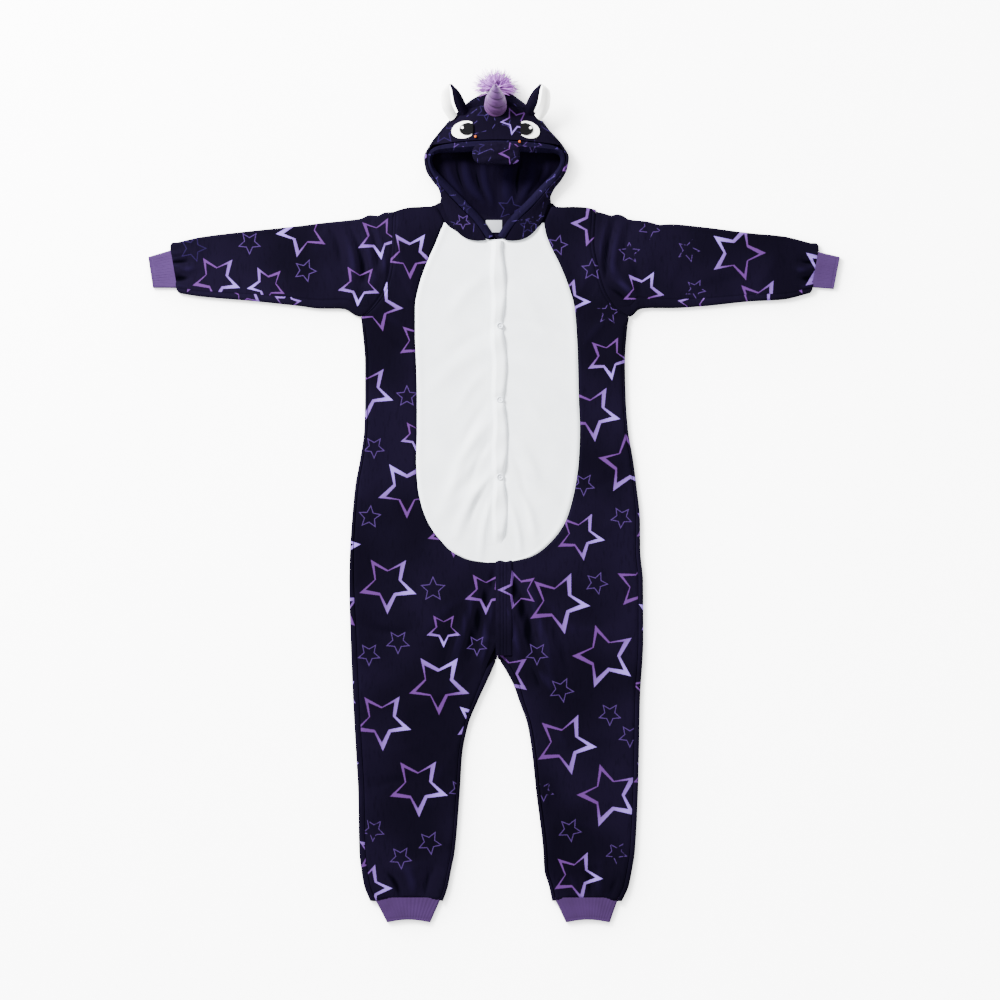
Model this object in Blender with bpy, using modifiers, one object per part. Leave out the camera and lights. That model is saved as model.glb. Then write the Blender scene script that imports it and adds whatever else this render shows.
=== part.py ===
"""A child's unicorn onesie in printed fleece, laid flat on its back with its arms out.

Each piece that is cut and sewn is one solid. Tables and sizes are in millimetres: `y` is the height on the
laid garment, and `left` and `right` are distances outwards from its centre line, left being the -X side.
"""

import math
from collections import namedtuple

import bmesh
import bpy
import numpy as np
from mathutils import Vector

for old in list(bpy.data.objects):
    bpy.data.objects.remove(old, do_unlink=True)

MM = 0.001

# Cloth
FLEECE = 2.6  # wall of the printed fleece
KNIT = 2.0  # wall of the cuffs
FELT = 1.6  # eyes, and the inside of the ears
SEAM_GAP = 0.4
LAYER_GAP = 0.4  # between layers that lie on each other
ROLL = 9.0  # outer height of an edge where the back rolls round to the front
EDGE_RADIUS = ROLL / 2
ROLL_GAP = 0.6  # the back's rolled edge stands this far off the seam
FLAT_TOP = 2 * FLEECE + LAYER_GAP + 0.4  # top of the front where it lies on the back

# Placing
CENTRE = 6.3  # the centre line, from the middle of the span: the left arm lies 11 mm longer
FRONT_JOIN = 4.0  # the fronts meet this far right of the centre line, under the lower placket
LEFT, RIGHT = "left", "right"
SIGN = {LEFT: -1, RIGHT: 1}

Edge = namedtuple("Edge", "y left right")
Tuck = namedtuple("Tuck", "y left right inseam")
Fold = namedtuple("Fold", "x0 y0 x1 y1 width height")
Sleeve = namedtuple("Sleeve", "out top bottom")
HoodRow = namedtuple(
    "HoodRow", "rim_y rim_left rim_right rim_z edge_y edge_left edge_right height back_y sag"
)

ARMHOLE = (
    Edge(514, 188, 177),
    Edge(458, 190, 174),
    Edge(417, 194, 181),
    Edge(379, 203, 191),
    Edge(343, 226, 212),
    Edge(325, 246, 237),
)
SIDE = (
    Edge(325, 246, 237),
    Edge(308, 244, 234),
    Edge(240, 238.5, 229.5),
    Edge(176, 238.5, 231),
    Edge(122, 240, 235),
    Edge(68, 247.5, 244),
    Edge(22, 256, 250),
    Edge(-41, 262, 256.5),
    Edge(-95, 265.5, 257),
    Edge(-150, 267, 262),
    Edge(-253, 264.5, 262.5),
    Edge(-365, 260, 256.5),
    Edge(-464, 254.5, 254.5),
    Edge(-527, 251, 253),
    Edge(-635, 249, 247.5),
    Edge(-671, 245, 242),
    Edge(-698, 240, 236),
    Edge(-721, 229.5, 224),
)
INSEAM = (
    Edge(-289, 1, 1),
    Edge(-311, 10, 15),
    Edge(-338, 22.5, 29),
    Edge(-365, 35, 38.5),
    Edge(-410, 53, 54),
    Edge(-464, 63.5, 62.5),
    Edge(-527, 67.5, 69),
    Edge(-635, 76.5, 82),
    Edge(-671, 83.5, 84),
    Edge(-698, 89, 92.5),
    Edge(-721, 98, 98),
)
# How far the back comes round on top before its seam, at the two sides and at the inside leg
TUCK = (
    Tuck(308, 4.5, 3, 0),
    Tuck(240, 9, 3, 0),
    Tuck(176, 11.5, 3.5, 0),
    Tuck(-289, 11.5, 3.5, 8),
    Tuck(-410, 11.5, 3.5, 2.5),
    Tuck(-721, 11.5, 3.5, 2.5),
)
# The white inset's edge, led on upwards as the neckline edge of the fronts
INSET = (
    Edge(514, 110, 96),
    Edge(495, 97, 84),
    Edge(478, 103.5, 86.5),
    Edge(458, 111.5, 93.5),
    Edge(417, 129.5, 113.5),
    Edge(379, 142, 128.5),
    Edge(343, 148.5, 138.5),
    Edge(290, 148.5, 143),
    Edge(240, 146.5, 145),
    Edge(176, 145, 146.5),
    Edge(122, 145, 148.5),
    Edge(68, 146.5, 146.5),
    Edge(22, 144, 140.5),
    Edge(-14, 137, 132.5),
    Edge(-41, 127, 123.5),
    Edge(-62, 115, 111.5),
    Edge(-80, 100, 96.5),
    Edge(-95, 85.5, 80),
    Edge(-106, 67.5, 62),
    Edge(-113, 50, 38),
    Edge(-117, 22, 14),
)
# The neckline over the inset, under the hood's edge
NECKLINE = (
    Edge(495, 95, 82),
    Edge(487, 87, 74),
    Edge(478, 73, 62),
    Edge(468.5, 56, 46),
    Edge(466.5, 34, 30),
    Edge(465, 16, 15),
)
# The shoulder line from the neck outwards
SHOULDER = ((109, 529), (115, 525), (129, 523.5), (150, 522.5), (170, 519.5), (188, 514))
CROTCH_Y = -253
APEX_Y = -289

NECK_CLEAR = 8.0  # the fronts' top corners stay this far out from the hood's rolled edge
SEAM_EASE = 2.0  # extra room where the back starts to roll round: under the arm and at the crotch
EASE_REACH = 20.0
UNDERARM_EASE = 0.7  # the sleeve stands this much further off the body at its lower end

PLACKET_SEAM = 15.5  # left of the centre line
PLACKET_HEIGHT = 4.6
PLACKET_TOP, PLACKET_BOTTOM = 461.0, -116.0
SNAP_HEIGHTS = (309.0, 176.0, 37.0)
PINCHES = (448.0, 309.0, 176.0, 37.0, -78.0)  # where a snap or a tack holds the placket flat
PLACKET_EDGE = {"pinched": 8.0, "free": 15.0}  # its free edge, right of the centre line
LOWER_PLACKET = {"left": -3.5, "right": 27.0, "top": -119.5, "bottom": -284.0, "wall": 3.0}
SNAP_RADIUS = 6.8
SNAP_X = 4.5  # right of the centre line
SNAP_DEPTH = 1.8

# Ears: the ridge where the two leaves meet, and each leaf's free edge, from base to tip, as (x, y, z)
EAR_RIDGE = ((-71, 687, 27.6), (-76, 708, 48), (-82, 732, 59))
EAR_TIP = (-86, 742, 55)
EAR_SPLIT = 2.6  # how far apart the leaves lie at their ridge
EAR_FELT = ((-84, 676, 25.6), (-100, 702, 32), (-100, 728, 42))
EAR_CLOTH = ((-59, 694, 26.6), (-65, 712, 37), (-76, 733, 49))
EAR_WALL = 2.2
EAR_SHIFT = {LEFT: 0.0, RIGHT: 6.0}  # the right ear is sewn on nearer the centre line
# How far each leaf is let down on to its hood side
EAR_DROP = {"outer": {LEFT: 1.0, RIGHT: 1.0}, "inner": {LEFT: 0.4, RIGHT: 0.7}}

# Largest folds: from one end to the other, half width, height
FOLDS = (
    Fold(-20, 140, -85, 20, 15, 2.2),
    Fold(-16, 30, -72, -50, 15, 2.4),
    Fold(26, 100, 66, 30, 15, 2.0),
    Fold(28, 22, 68, -58, 15, 2.4),
    Fold(-40, -230, -150, -150, 24, 2.2),
    Fold(60, -225, 170, -140, 24, 2.2),
    Fold(-30, -290, -160, -330, 22, 1.8),
    Fold(45, -290, 170, -330, 22, 1.8),
    Fold(-200, 450, -150, 330, 20, 1.6),
    Fold(190, 450, 140, 330, 20, 1.6),
)

SLEEVES = {
    LEFT: (
        Sleeve(188, 516, 325),
        Sleeve(201, 515.5, 325),
        Sleeve(229.5, 508.5, 325),
        Sleeve(246, 503, 325),
        Sleeve(273, 498.5, 339.5),
        Sleeve(316, 494, 339.5),
        Sleeve(359, 488.5, 344.5),
        Sleeve(445, 479.5, 353.5),
        Sleeve(532, 469, 361),
        Sleeve(577, 459, 368),
    ),
    RIGHT: (
        Sleeve(177, 519, 325),
        Sleeve(210, 508.5, 325),
        Sleeve(238, 499.5, 325),
        Sleeve(253, 496, 343),
        Sleeve(282, 494, 339.5),
        Sleeve(310, 492, 339.5),
        Sleeve(368, 487, 343),
        Sleeve(454, 476, 352),
        Sleeve(512, 470.5, 355.5),
        Sleeve(564, 458, 368),
    ),
}
SLEEVE_END = {LEFT: ((585, 455), (576, 367)), RIGHT: ((574, 452), (565, 368))}  # top, bottom: (out, y)
WRIST_END = {LEFT: ((628.5, 433), (620, 377)), RIGHT: ((616, 433), (605, 375))}
WRIST_INSET = 10  # the sleeve's end is this much wider than the cuff, above and below
ANKLE_TOP = {LEFT: (101, 222), RIGHT: (102, 218)}  # inner and outer side
ANKLE_END = {LEFT: (121, 199), RIGHT: (123, 202)}
HEM_Y = -721
ANKLE_Y = -764.5
CUFF_HEIGHT = 7.0
CUFF_GAP = 0.8  # the gathers stand this far off the cuff

HOOD = (
    HoodRow(463, 20.0, 13.5, 10.5, 530, 109, 97, 9, 502.5, 1.0),
    HoodRow(492, 39, 32, 13.5, 539, 102, 95.5, 12, 523, 0.35),
    HoodRow(522, 69, 64, 17.0, 553.5, 105.5, 101.5, 15, 543, 0.1),
    HoodRow(553, 98, 91, 20.0, 570, 118, 114.5, 18, 564, 0),
    HoodRow(584, 117, 112, 22.5, 591, 129.5, 125, 20, 589.5, 0),
    HoodRow(613, 122.5, 118, 24.0, 611, 132.5, 128.5, 22, 616.5, 0),
    HoodRow(638, 110, 106, 25.0, 634, 121.5, 116, 24, 638, 0),
    HoodRow(665, 91, 82, 25.5, 661.5, 101, 92.5, 25, 661.5, 0),
    HoodRow(681, 74.5, 69.5, 25.5, 683, 82, 76.5, 25, 683, 0),
    HoodRow(694, 58.5, 53, 24.5, 699.5, 65, 59.5, 24, 697.5, 0),
    HoodRow(701, 42.5, 37, 24.0, 713.5, 49.5, 42.5, 23, 708, 0),
    HoodRow(704.7, 22.5, 17, 23.5, 725.5, 26, 22.5, 22, 715.5, 0),
    HoodRow(705.6, 0.7, 0.7, 23.5, 729, 0.7, 0.7, 22, 719.5, 0),
)
BRIM_ROW = 6  # from this row on, the rim is the seam of the face panel
ROLL_DEPTH = 8.0  # the hood's rolled edge, seen from above
SAG_OUT, SAG_DOWN = 18.0, 43.0  # how far the neck seam bows from a straight line
SEAM_TOP = 704.7  # height of the face panel's top edge
DOME = ((638, 19), (665, 16), (681, 13), (694, 10), (704.7, 7))  # the face panel over its seam: y, rise
BAND = 11.0  # the binding's width, seen from above
BAND_WALL = 4.0
BAND_GAP = 1.7
BRIM_DROP = 8.0
BRIM_EXTRA = 7.0  # the brim is this much deeper at its middle

HORN_BASE = Vector((-3.5, 702.0, 0))
HORN_SEAT = 1.2
HORN_RADIUS = 20.5
HORN_LENGTH = 62.0
HORN_REACH = 40.0  # from the base's middle to the tip, seen from above
HORN_TURNS = 4.5
GROOVE = 1.3
TUFT_CENTRE = Vector((-2.5, 743.5, 26.5))
TUFT_CORE = (15.0, 8.0, 10.0)
TUFT_REACH = (35.5, 22.0, 20.0)


def x_of(side, out):
    """X of a point `out` from the centre line."""
    return CENTRE + SIGN[side] * out


def along(table, column, y):
    """A table's column at height y, straight between its rows."""
    rows = sorted(table, key=lambda row: row[0])
    return float(np.interp(y, [row[0] for row in rows], [getattr(row, column) for row in rows]))


def finish(name, colour, roughness):
    material = bpy.data.materials.new(name)
    material.use_nodes = True
    shader = material.node_tree.nodes["Principled BSDF"]
    shader.inputs["Base Color"].default_value = (*colour, 1)
    shader.inputs["Roughness"].default_value = roughness
    return material


def add_object(name, bm, material):
    """The bmesh, in millimetres, as an object of the onesie's collection, in metres."""
    bmesh.ops.scale(bm, vec=(MM, MM, MM), verts=bm.verts)
    mesh = bpy.data.meshes.new(name)
    bm.to_mesh(mesh)
    bm.free()
    mesh.shade_smooth()
    mesh.set_sharp_from_angle(angle=math.radians(50))
    mesh.materials.append(material)
    piece = bpy.data.objects.new(name, mesh)
    onesie.objects.link(piece)
    return piece


def loft(rows, ring=False, ends=False):
    """A bmesh of quads between rows of points. A ring's rows close on themselves, and ends caps them."""
    bm = bmesh.new()
    lines = [[bm.verts.new(point) for point in row] for row in rows]
    count = len(rows[0])
    for low, high in zip(lines, lines[1:]):
        for i in range(count if ring else count - 1):
            j = (i + 1) % count
            bm.faces.new((low[i], low[j], high[j], high[i]))
    if ends:
        bm.faces.new(lines[0][::-1])
        bm.faces.new(lines[-1])
    return bm


def face_towards(bm, direction):
    """Turns an open sheet so that most of it faces along a direction."""
    bm.normal_update()
    facing = sum(face.normal.dot(direction) * face.calc_area() for face in bm.faces)
    if facing < 0:
        bmesh.ops.reverse_faces(bm, faces=bm.faces)


def face_outwards(bm):
    """Turns a tube or a closed shape so that its faces point away from its middle."""
    bm.normal_update()
    middle = sum((vert.co for vert in bm.verts), Vector()) / len(bm.verts)
    facing = sum(
        face.normal.dot(face.calc_center_median() - middle) * face.calc_area() for face in bm.faces
    )
    if facing < 0:
        bmesh.ops.reverse_faces(bm, faces=bm.faces)


def cloth(name, bm, wall, material):
    """A piece whose bmesh is its outer side: the wall grows inwards."""
    piece = add_object(name, bm, material)
    solidify = piece.modifiers.new("Wall", "SOLIDIFY")
    solidify.thickness = wall * MM
    solidify.offset = -1
    return piece


def fold_rise(x, y):
    """How far the largest folds lift the front at a point."""
    rise = 0.0
    for fold in FOLDS:
        start, end = Vector((fold.x0, fold.y0)), Vector((fold.x1, fold.y1))
        run = end - start
        share = max(0.0, min(1.0, (Vector((x - CENTRE, y)) - start).dot(run) / run.length_squared))
        gap = (Vector((x - CENTRE, y)) - start - run * share).length
        rise = max(rise, fold.height * math.exp(-((gap / fold.width) ** 2)))
    return rise


def side_seam(side, y):
    """Where the front ends on its outer side: the armhole, and below it the seam on the rolled edge."""
    if y >= ARMHOLE[-1].y:
        return along(ARMHOLE, side, y)
    return along(SIDE, side, y) - EDGE_RADIUS - along(TUCK, side, y)


def inner_seam(side, y):
    """Where a leg's front ends on its inner side."""
    if y > APEX_Y:
        join = SIGN[side] * FRONT_JOIN
        share = max(0.0, (CROTCH_Y - y) / (CROTCH_Y - APEX_Y))
        return join + share * (inner_seam(side, APEX_Y) - join)
    return along(INSEAM, side, y) + EDGE_RADIUS + along(TUCK, "inseam", y)


def front_top(side, out, y):
    """Height of the front's outer side: on the back in the middle, up to the rolled edges at its seams."""
    rise = math.exp(-(((side_seam(side, y) - out) / 30) ** 2))
    if y <= CROTCH_Y:
        rise = max(rise, math.exp(-(((out - inner_seam(side, y)) / 25) ** 2)))
    rise = (ROLL - FLAT_TOP) * rise + fold_rise(x_of(side, out), y)
    return FLAT_TOP + min(rise, ROLL - FLAT_TOP)


def rows_between(top, bottom, *tables):
    """The heights of the tables' rows from top down to bottom."""
    found = {row.y for table in tables for row in table if bottom <= row.y <= top}
    return sorted(found | {top, bottom}, reverse=True)


def front_sheet(side, heights, inner, outer, columns, raised=0.0):
    """A sheet on the front's form. inner and outer give its edges at each height."""
    rows = []
    for y in heights:
        outs = np.linspace(inner(y), outer(y), columns + 1)
        rows.append([(x_of(side, out), y, front_top(side, out, y) + raised) for out in outs])
    bm = loft(rows)
    face_towards(bm, Vector((0, 0, 1)))
    return bm


def seam_ease(y):
    """How much extra room the front leaves at height y for the start of the back's roll."""
    starts = (SIDE[1].y, APEX_Y)
    return SEAM_EASE * max(math.exp(-(((y - start) / EASE_REACH) ** 2)) for start in starts)


def front(side):
    half = SEAM_GAP / 2

    def inner(y):
        if y >= INSET[-1].y:
            return along(INSET, side, y) + half
        return inner_seam(side, y) + half + seam_ease(y)

    def outer(y):
        return side_seam(side, y) - half - seam_ease(y)

    heights = rows_between(ARMHOLE[0].y, HEM_Y, ARMHOLE, SIDE, INSET, INSEAM)
    heights = sorted(set(heights) | {-203, CROTCH_Y, -580}, reverse=True)
    heights.append(INSET[-1].y - 1.5)
    heights.sort(reverse=True)
    bm = front_sheet(side, heights, inner, outer, 4)
    neck_out = getattr(HOOD[0], f"edge_{side}")
    for vert in bm.verts:
        if vert.co.y == ARMHOLE[0].y:
            beyond = max(NECK_CLEAR, abs(vert.co.x - CENTRE) - neck_out)
            vert.co.y = shoulder_y(beyond) - SEAM_GAP
    return cloth(f"front_{side}", bm, FLEECE, fleece)


def roll(reach, tuck, inwards):
    """A rolled edge's section from the floor to the seam on top: (out, z). inwards is -1 on an inner leg."""
    middle = reach - inwards * EDGE_RADIUS
    points = [
        (middle + inwards * EDGE_RADIUS * math.sin(turn), EDGE_RADIUS * (1 - math.cos(turn)))
        for turn in (0, math.radians(60), math.radians(120), math.pi)
    ]
    return points + [(middle - inwards * tuck, ROLL)]


def back_section(side, y):
    """The back from its centre or inside leg to its outer edge, as (out, z)."""
    half = SEAM_GAP / 2
    inner = [(half + step, 0) for step in (0, 4, 8, 12, 18)]
    if y > CROTCH_Y + 40:
        spread = along(ARMHOLE + SIDE[1:], side, y) / 10
        inner = [(half + i * spread, 0) for i in range(5)]
    if y <= APEX_Y:
        inner = roll(along(INSEAM, side, y), along(TUCK, "inseam", y) - ROLL_GAP, -1)[::-1]
    if y >= ARMHOLE[-1].y:
        reach = along(ARMHOLE, side, y) - half
        step = 5 if y < 400 else 14
        outer = [(reach - i * step, 0) for i in range(4, -1, -1)]
    else:
        outer = roll(along(SIDE, side, y), along(TUCK, side, y) - ROLL_GAP, 1)
    start, end = inner[-1][0], outer[0][0]
    flat = [(start + (end - start) / 2, 0)]
    return inner + flat + outer


def shoulder_y(beyond):
    """Height of the shoulder line this far out from the neck."""
    outs, heights = zip(*SHOULDER)
    return float(np.interp(beyond + outs[0], outs, heights))


def back(side):
    heights = rows_between(ARMHOLE[1].y, HEM_Y, ARMHOLE, SIDE, INSEAM)
    heights = sorted(set(heights) | {-203, CROTCH_Y}, reverse=True)
    rows = [[(x_of(side, out), y, z) for out, z in back_section(side, y)] for y in heights]
    neck = HOOD[0]
    neck_out = getattr(neck, f"edge_{side}")
    top = []
    for out, z in back_section(side, ARMHOLE[0].y):
        slope = neck.back_y + (neck.edge_y - neck.back_y) * out / neck_out
        y = slope if out < neck_out else shoulder_y(out - neck_out)
        top.append((x_of(side, out), y - SEAM_GAP - 0.6, z))
    bm = loft([top] + rows)
    face_towards(bm, Vector((0, 0, -1)))
    return cloth(f"back_{side}", bm, FLEECE, fleece)


def belly(side):
    """Half of the white inset. Its inner edge is the neckline, and below that the placket's seam."""
    half = SEAM_GAP / 2
    stop = {LEFT: PLACKET_SEAM + half, RIGHT: half - PLACKET_SEAM}[side]

    def inner(y):
        return max(stop, along(NECKLINE, side, y)) if y > NECKLINE[-1].y else stop

    heights = rows_between(494.0, -113.0, NECKLINE[1:], INSET)
    bm = front_sheet(side, heights, inner, lambda y: along(INSET, side, y) - half, 5)
    return cloth(f"belly_{side}", bm, FLEECE, plush)


def placket_edge(y):
    """The free edge waves between its fastenings."""
    near = min(abs(y - pinch) for pinch in PINCHES)
    share = math.sin(min(1.0, near / 66) * math.pi / 2)
    return PLACKET_EDGE["pinched"] + share * (PLACKET_EDGE["free"] - PLACKET_EDGE["pinched"])


def middle_top(left, right, y):
    """Highest point of the front between two points near its centre line, at height y."""
    tops = []
    for out in np.linspace(left, right, 5):
        tops.append(front_top(RIGHT if out > 0 else LEFT, abs(out), y))
    return max(tops)


def placket():
    rows = []
    steps = 22
    for i in range(steps + 1):
        y = PLACKET_TOP + (PLACKET_BOTTOM - PLACKET_TOP) * i / steps
        left, right = 0.4 - PLACKET_SEAM, placket_edge(y)
        base = middle_top(left - 8, right + 8, y) + 2 * SEAM_GAP
        width = right - left
        rows.append(
            [
                (CENTRE + left, y, base),
                (CENTRE + right - 1, y, base),
                (CENTRE + right, y, base + PLACKET_HEIGHT / 2),
                (CENTRE + right - 2.5, y, base + PLACKET_HEIGHT),
                (CENTRE + left + width / 2, y, base + PLACKET_HEIGHT - 0.4),
                (CENTRE + left + 2.5, y, base + PLACKET_HEIGHT * 0.8),
            ]
        )
    bm = loft(rows, ring=True, ends=True)
    bmesh.ops.recalc_face_normals(bm, faces=bm.faces)
    return add_object("placket", bm, plush)


def placket_lower():
    """The plain band over the join of the fronts, from the inset down to the crotch."""
    left, right = LOWER_PLACKET["left"], LOWER_PLACKET["right"]
    wall = LOWER_PLACKET["wall"]
    rows = []
    for y in np.linspace(LOWER_PLACKET["top"], LOWER_PLACKET["bottom"], 8):
        base = ROLL if y < CROTCH_Y + 50 else middle_top(left, right, y) + SEAM_GAP
        rise = min(base, ROLL) + SEAM_GAP + wall
        rows.append([(CENTRE + out, y, rise) for out in np.linspace(left, right, 3)])
    bm = loft(rows)
    face_towards(bm, Vector((0, 0, 1)))
    return cloth("placket_lower", bm, wall, fleece)


def snap(index, y):
    """A pressed snap cap on the placket: a low turned button with a dimple."""
    flap = middle_top(-PLACKET_SEAM - 8, PLACKET_EDGE["pinched"] + 8, y) + PLACKET_HEIGHT
    z = flap + 3 * SEAM_GAP + SNAP_DEPTH / 2
    bm = bmesh.new()
    bmesh.ops.create_cone(
        bm,
        cap_ends=True,
        segments=14,
        radius1=SNAP_RADIUS,
        radius2=SNAP_RADIUS * 0.8,
        depth=SNAP_DEPTH,
    )
    top = max(bm.faces, key=lambda face: face.calc_center_median().z)
    bmesh.ops.inset_region(bm, faces=[top], thickness=SNAP_RADIUS * 0.38)
    bmesh.ops.translate(bm, vec=(0, 0, -SNAP_DEPTH * 0.45), verts=top.verts)
    bmesh.ops.translate(bm, vec=(CENTRE + SNAP_X, y, z), verts=bm.verts)
    return add_object(f"snap_{index}", bm, snap_white)


def tube_ring(side, top, bottom, height, nodes):
    """A flattened ring of a tube that lies along X: top and bottom are its edges as (out, y)."""
    radius = height / 2
    top, bottom = Vector(top), Vector(bottom)
    length = (top - bottom).length

    def at(share, z):
        point = bottom + (top - bottom) * share
        return (x_of(side, point.x), point.y, z)

    inset = radius / length
    inner = [inset] + [share for share in nodes if inset < share < 1 - inset] + [1 - inset]
    turn = radius * (1 - math.cos(math.radians(30))) / length
    low = [at(share, 0) for share in inner]
    high = [at(share, height) for share in inner[::-1]]
    side_top = [at(1 - turn, radius * 0.5), at(1 - turn, radius * 1.5)]
    side_bottom = [at(turn, radius * 1.5), at(turn, radius * 0.5)]
    return low + side_top + high + side_bottom


def sleeve(side):
    """A tube from the armhole to the wrist. Its rings bend from the armhole's line to the cuff's."""
    armhole_top, armhole_bottom = ARMHOLE[0].y, ARMHOLE[-1].y
    gap = SEAM_GAP
    nodes = [
        (row.y - armhole_bottom) / (armhole_top - armhole_bottom) for row in ARMHOLE[-2:0:-1]
    ]
    (end_top, end_bottom) = (Vector(point) for point in SLEEVE_END[side])
    table = SLEEVES[side]
    outs = [row.out for row in table]

    def underarm_ease(y):
        return UNDERARM_EASE * math.exp(-(((y - armhole_bottom) / EASE_REACH) ** 2))

    def silhouette(out, share):
        """How far the sleeve's outline bows from the straight lines between armhole and wrist."""
        low = np.interp(out, outs, [row.bottom for row in table])
        high = np.interp(out, outs, [row.top for row in table])
        low -= np.interp(out, (table[3].out, end_bottom.x), (armhole_bottom, end_bottom.y))
        high -= np.interp(out, (outs[0], end_top.x), (armhole_top, end_top.y))
        return low + (high - low) * share

    def point(progress, share):
        y = armhole_bottom + (armhole_top - armhole_bottom) * share
        start = Vector((along(ARMHOLE, side, y) + gap + underarm_ease(y), y))
        end = end_bottom + (end_top - end_bottom) * share
        place = start + (end - start) * progress
        bow = math.sin(min(1.0, progress * 8) * math.pi / 2)
        place.y += silhouette(place.x, share) * bow
        return place

    rows = []
    for progress in (0, 0.06, 0.13, 0.21, 0.3, 0.4, 0.52, 0.66, 0.8, 0.92, 1):
        length = (point(progress, 1) - point(progress, 0)).length
        inset = EDGE_RADIUS / length
        turn = EDGE_RADIUS * (1 - math.cos(math.radians(30))) / length
        shares = [inset] + nodes + [1 - inset]
        dip = 1.6 * math.sin(math.pi * min(1, progress * 4) / 2)
        ring = [(share, 0) for share in shares]
        ring += [(1 - turn, EDGE_RADIUS * 0.5), (1 - turn, EDGE_RADIUS * 1.5)]
        for share in shares[::-1]:
            ring.append((share, ROLL - dip * math.sin(math.pi * share) * (share in nodes)))
        ring += [(turn, EDGE_RADIUS * 1.5), (turn, EDGE_RADIUS * 0.5)]
        row = []
        for share, z in ring:
            place = point(progress, share)
            row.append((x_of(side, place.x), place.y, z))
        rows.append(row)
    bm = loft(rows, ring=True)
    face_outwards(bm)
    return cloth(f"sleeve_{side}", bm, FLEECE, fleece)


def wrist_cuff(side):
    """A knitted tube that narrows a little, sewn to the gathered end of the sleeve."""
    (top, bottom) = (Vector(point) for point in SLEEVE_END[side])
    away = Vector((CUFF_GAP, 0))
    step = (top - bottom).normalized() * WRIST_INSET
    starts = top - step + away, bottom + step + away
    ends = tuple(Vector(point) for point in WRIST_END[side])
    rows = []
    for share in (0, 0.33, 0.67, 1):
        edge = [start.lerp(end, share) for start, end in zip(starts, ends)]
        rows.append(tube_ring(side, edge[0], edge[1], CUFF_HEIGHT, (0.25, 0.5, 0.75)))
    bm = loft(rows, ring=True)
    face_outwards(bm)
    return cloth(f"wrist_cuff_{side}", bm, KNIT, knit)


def ankle_cuff(side):
    """A knitted tube under each leg. Its free edge dips in the middle."""
    radius = CUFF_HEIGHT / 2
    turn = radius * (1 - math.cos(math.radians(30)))
    rows = []
    for share in (0, 0.35, 0.7, 1):
        inner, outer = (
            start + (end - start) * share for start, end in zip(ANKLE_TOP[side], ANKLE_END[side])
        )
        base_y = HEM_Y - CUFF_GAP + (ANKLE_Y - HEM_Y + CUFF_GAP) * share
        outs = np.linspace(inner + radius, outer - radius, 4)
        ring = [(out, 0) for out in outs]
        ring += [(outer - turn, radius * 0.5), (outer - turn, radius * 1.5)]
        ring += [(out, CUFF_HEIGHT) for out in outs[::-1]]
        ring += [(inner + turn, radius * 1.5), (inner + turn, radius * 0.5)]
        row = []
        for out, z in ring:
            bow = 5.0 * share * math.sin(math.pi * (out - inner) / (outer - inner))
            row.append((x_of(side, out), base_y + bow, z))
        rows.append(row)
    bm = loft(rows, ring=True)
    face_outwards(bm)
    return cloth(f"ankle_cuff_{side}", bm, KNIT, knit)


def hood_section(side, row):
    """From the rim over the rolled edge and down to the centre back, on the hood's outer side."""
    rim = Vector((getattr(row, f"rim_{side}"), row.rim_y, row.rim_z))
    edge = Vector((getattr(row, f"edge_{side}"), row.edge_y, row.height / 2))
    back_point = Vector((SEAM_GAP, row.back_y, 0))
    over = Vector((rim.x - edge.x, rim.y - edge.y, 0))
    under = Vector((back_point.x - edge.x, back_point.y - edge.y, 0))
    depth = min(ROLL_DEPTH, over.length * 0.8)
    over.normalize()
    under_depth = min(ROLL_DEPTH, under.length * 0.9)
    under.normalize()
    top = edge + over * depth + Vector((0, 0, row.height / 2))
    bend = (rim + top) / 2 + row.sag * Vector((SAG_OUT, -SAG_DOWN, 0))
    points = []
    for share in (0, 0.33, 0.67, 1):
        low, high = rim.lerp(bend, share), bend.lerp(top, share)
        points.append(low.lerp(high, share))
    slope = math.radians(55)
    turn = 1 - math.cos(slope)
    lift = Vector((0, 0, row.height / 2 * math.sin(slope)))
    points.append(edge + over * depth * turn * 0.6 + lift)
    points.append(edge + under * under_depth * turn * 0.6 - lift)
    floor = edge + under * under_depth - Vector((0, 0, row.height / 2))
    points += [floor, floor.lerp(back_point, 0.5), back_point]
    return [(x_of(side, point.x), point.y, point.z) for point in points]


def hood(side):
    bm = loft([hood_section(side, row) for row in HOOD])
    face_towards(bm, Vector((0, 0, -1)))
    return cloth(f"hood_{side}", bm, FLEECE, fleece)


def seam_height(y):
    """Height of the face panel's seam."""
    return along(HOOD[BRIM_ROW:-1], "rim_z", y)


def face_top(x, y):
    """Height of the face panel's outer side."""
    side = RIGHT if x > CENTRE else LEFT
    reach = along(HOOD[BRIM_ROW:-1], f"rim_{side}", y)
    share = min(1.0, abs(x - CENTRE) / reach)
    rise = np.interp(y, [row[0] for row in DOME], [row[1] for row in DOME])
    return seam_height(y) + rise * (1 - share**2)


def seam_points(y, columns=8):
    """X of the face panel's columns at height y."""
    left, right = (along(HOOD[BRIM_ROW:-1], f"rim_{side}", y) for side in (LEFT, RIGHT))
    return [x_of(LEFT, left - 0.5) + (left + right - 1.0) * i / columns for i in range(columns + 1)]


def hood_face():
    """The panel with the eyes, from the ears' seam down to the brim."""
    heights = [row.rim_y for row in HOOD[BRIM_ROW:-1]]
    fine = []
    for low, high in zip(heights, heights[1:]):
        fine += [low, (low + high) / 2]
    rows = [[(x, y, face_top(x, y)) for x in seam_points(y)] for y in fine + [heights[-1]]]
    bm = loft(rows)
    face_towards(bm, Vector((0, 0, 1)))
    return cloth("hood_face", bm, FLEECE, fleece)


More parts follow.
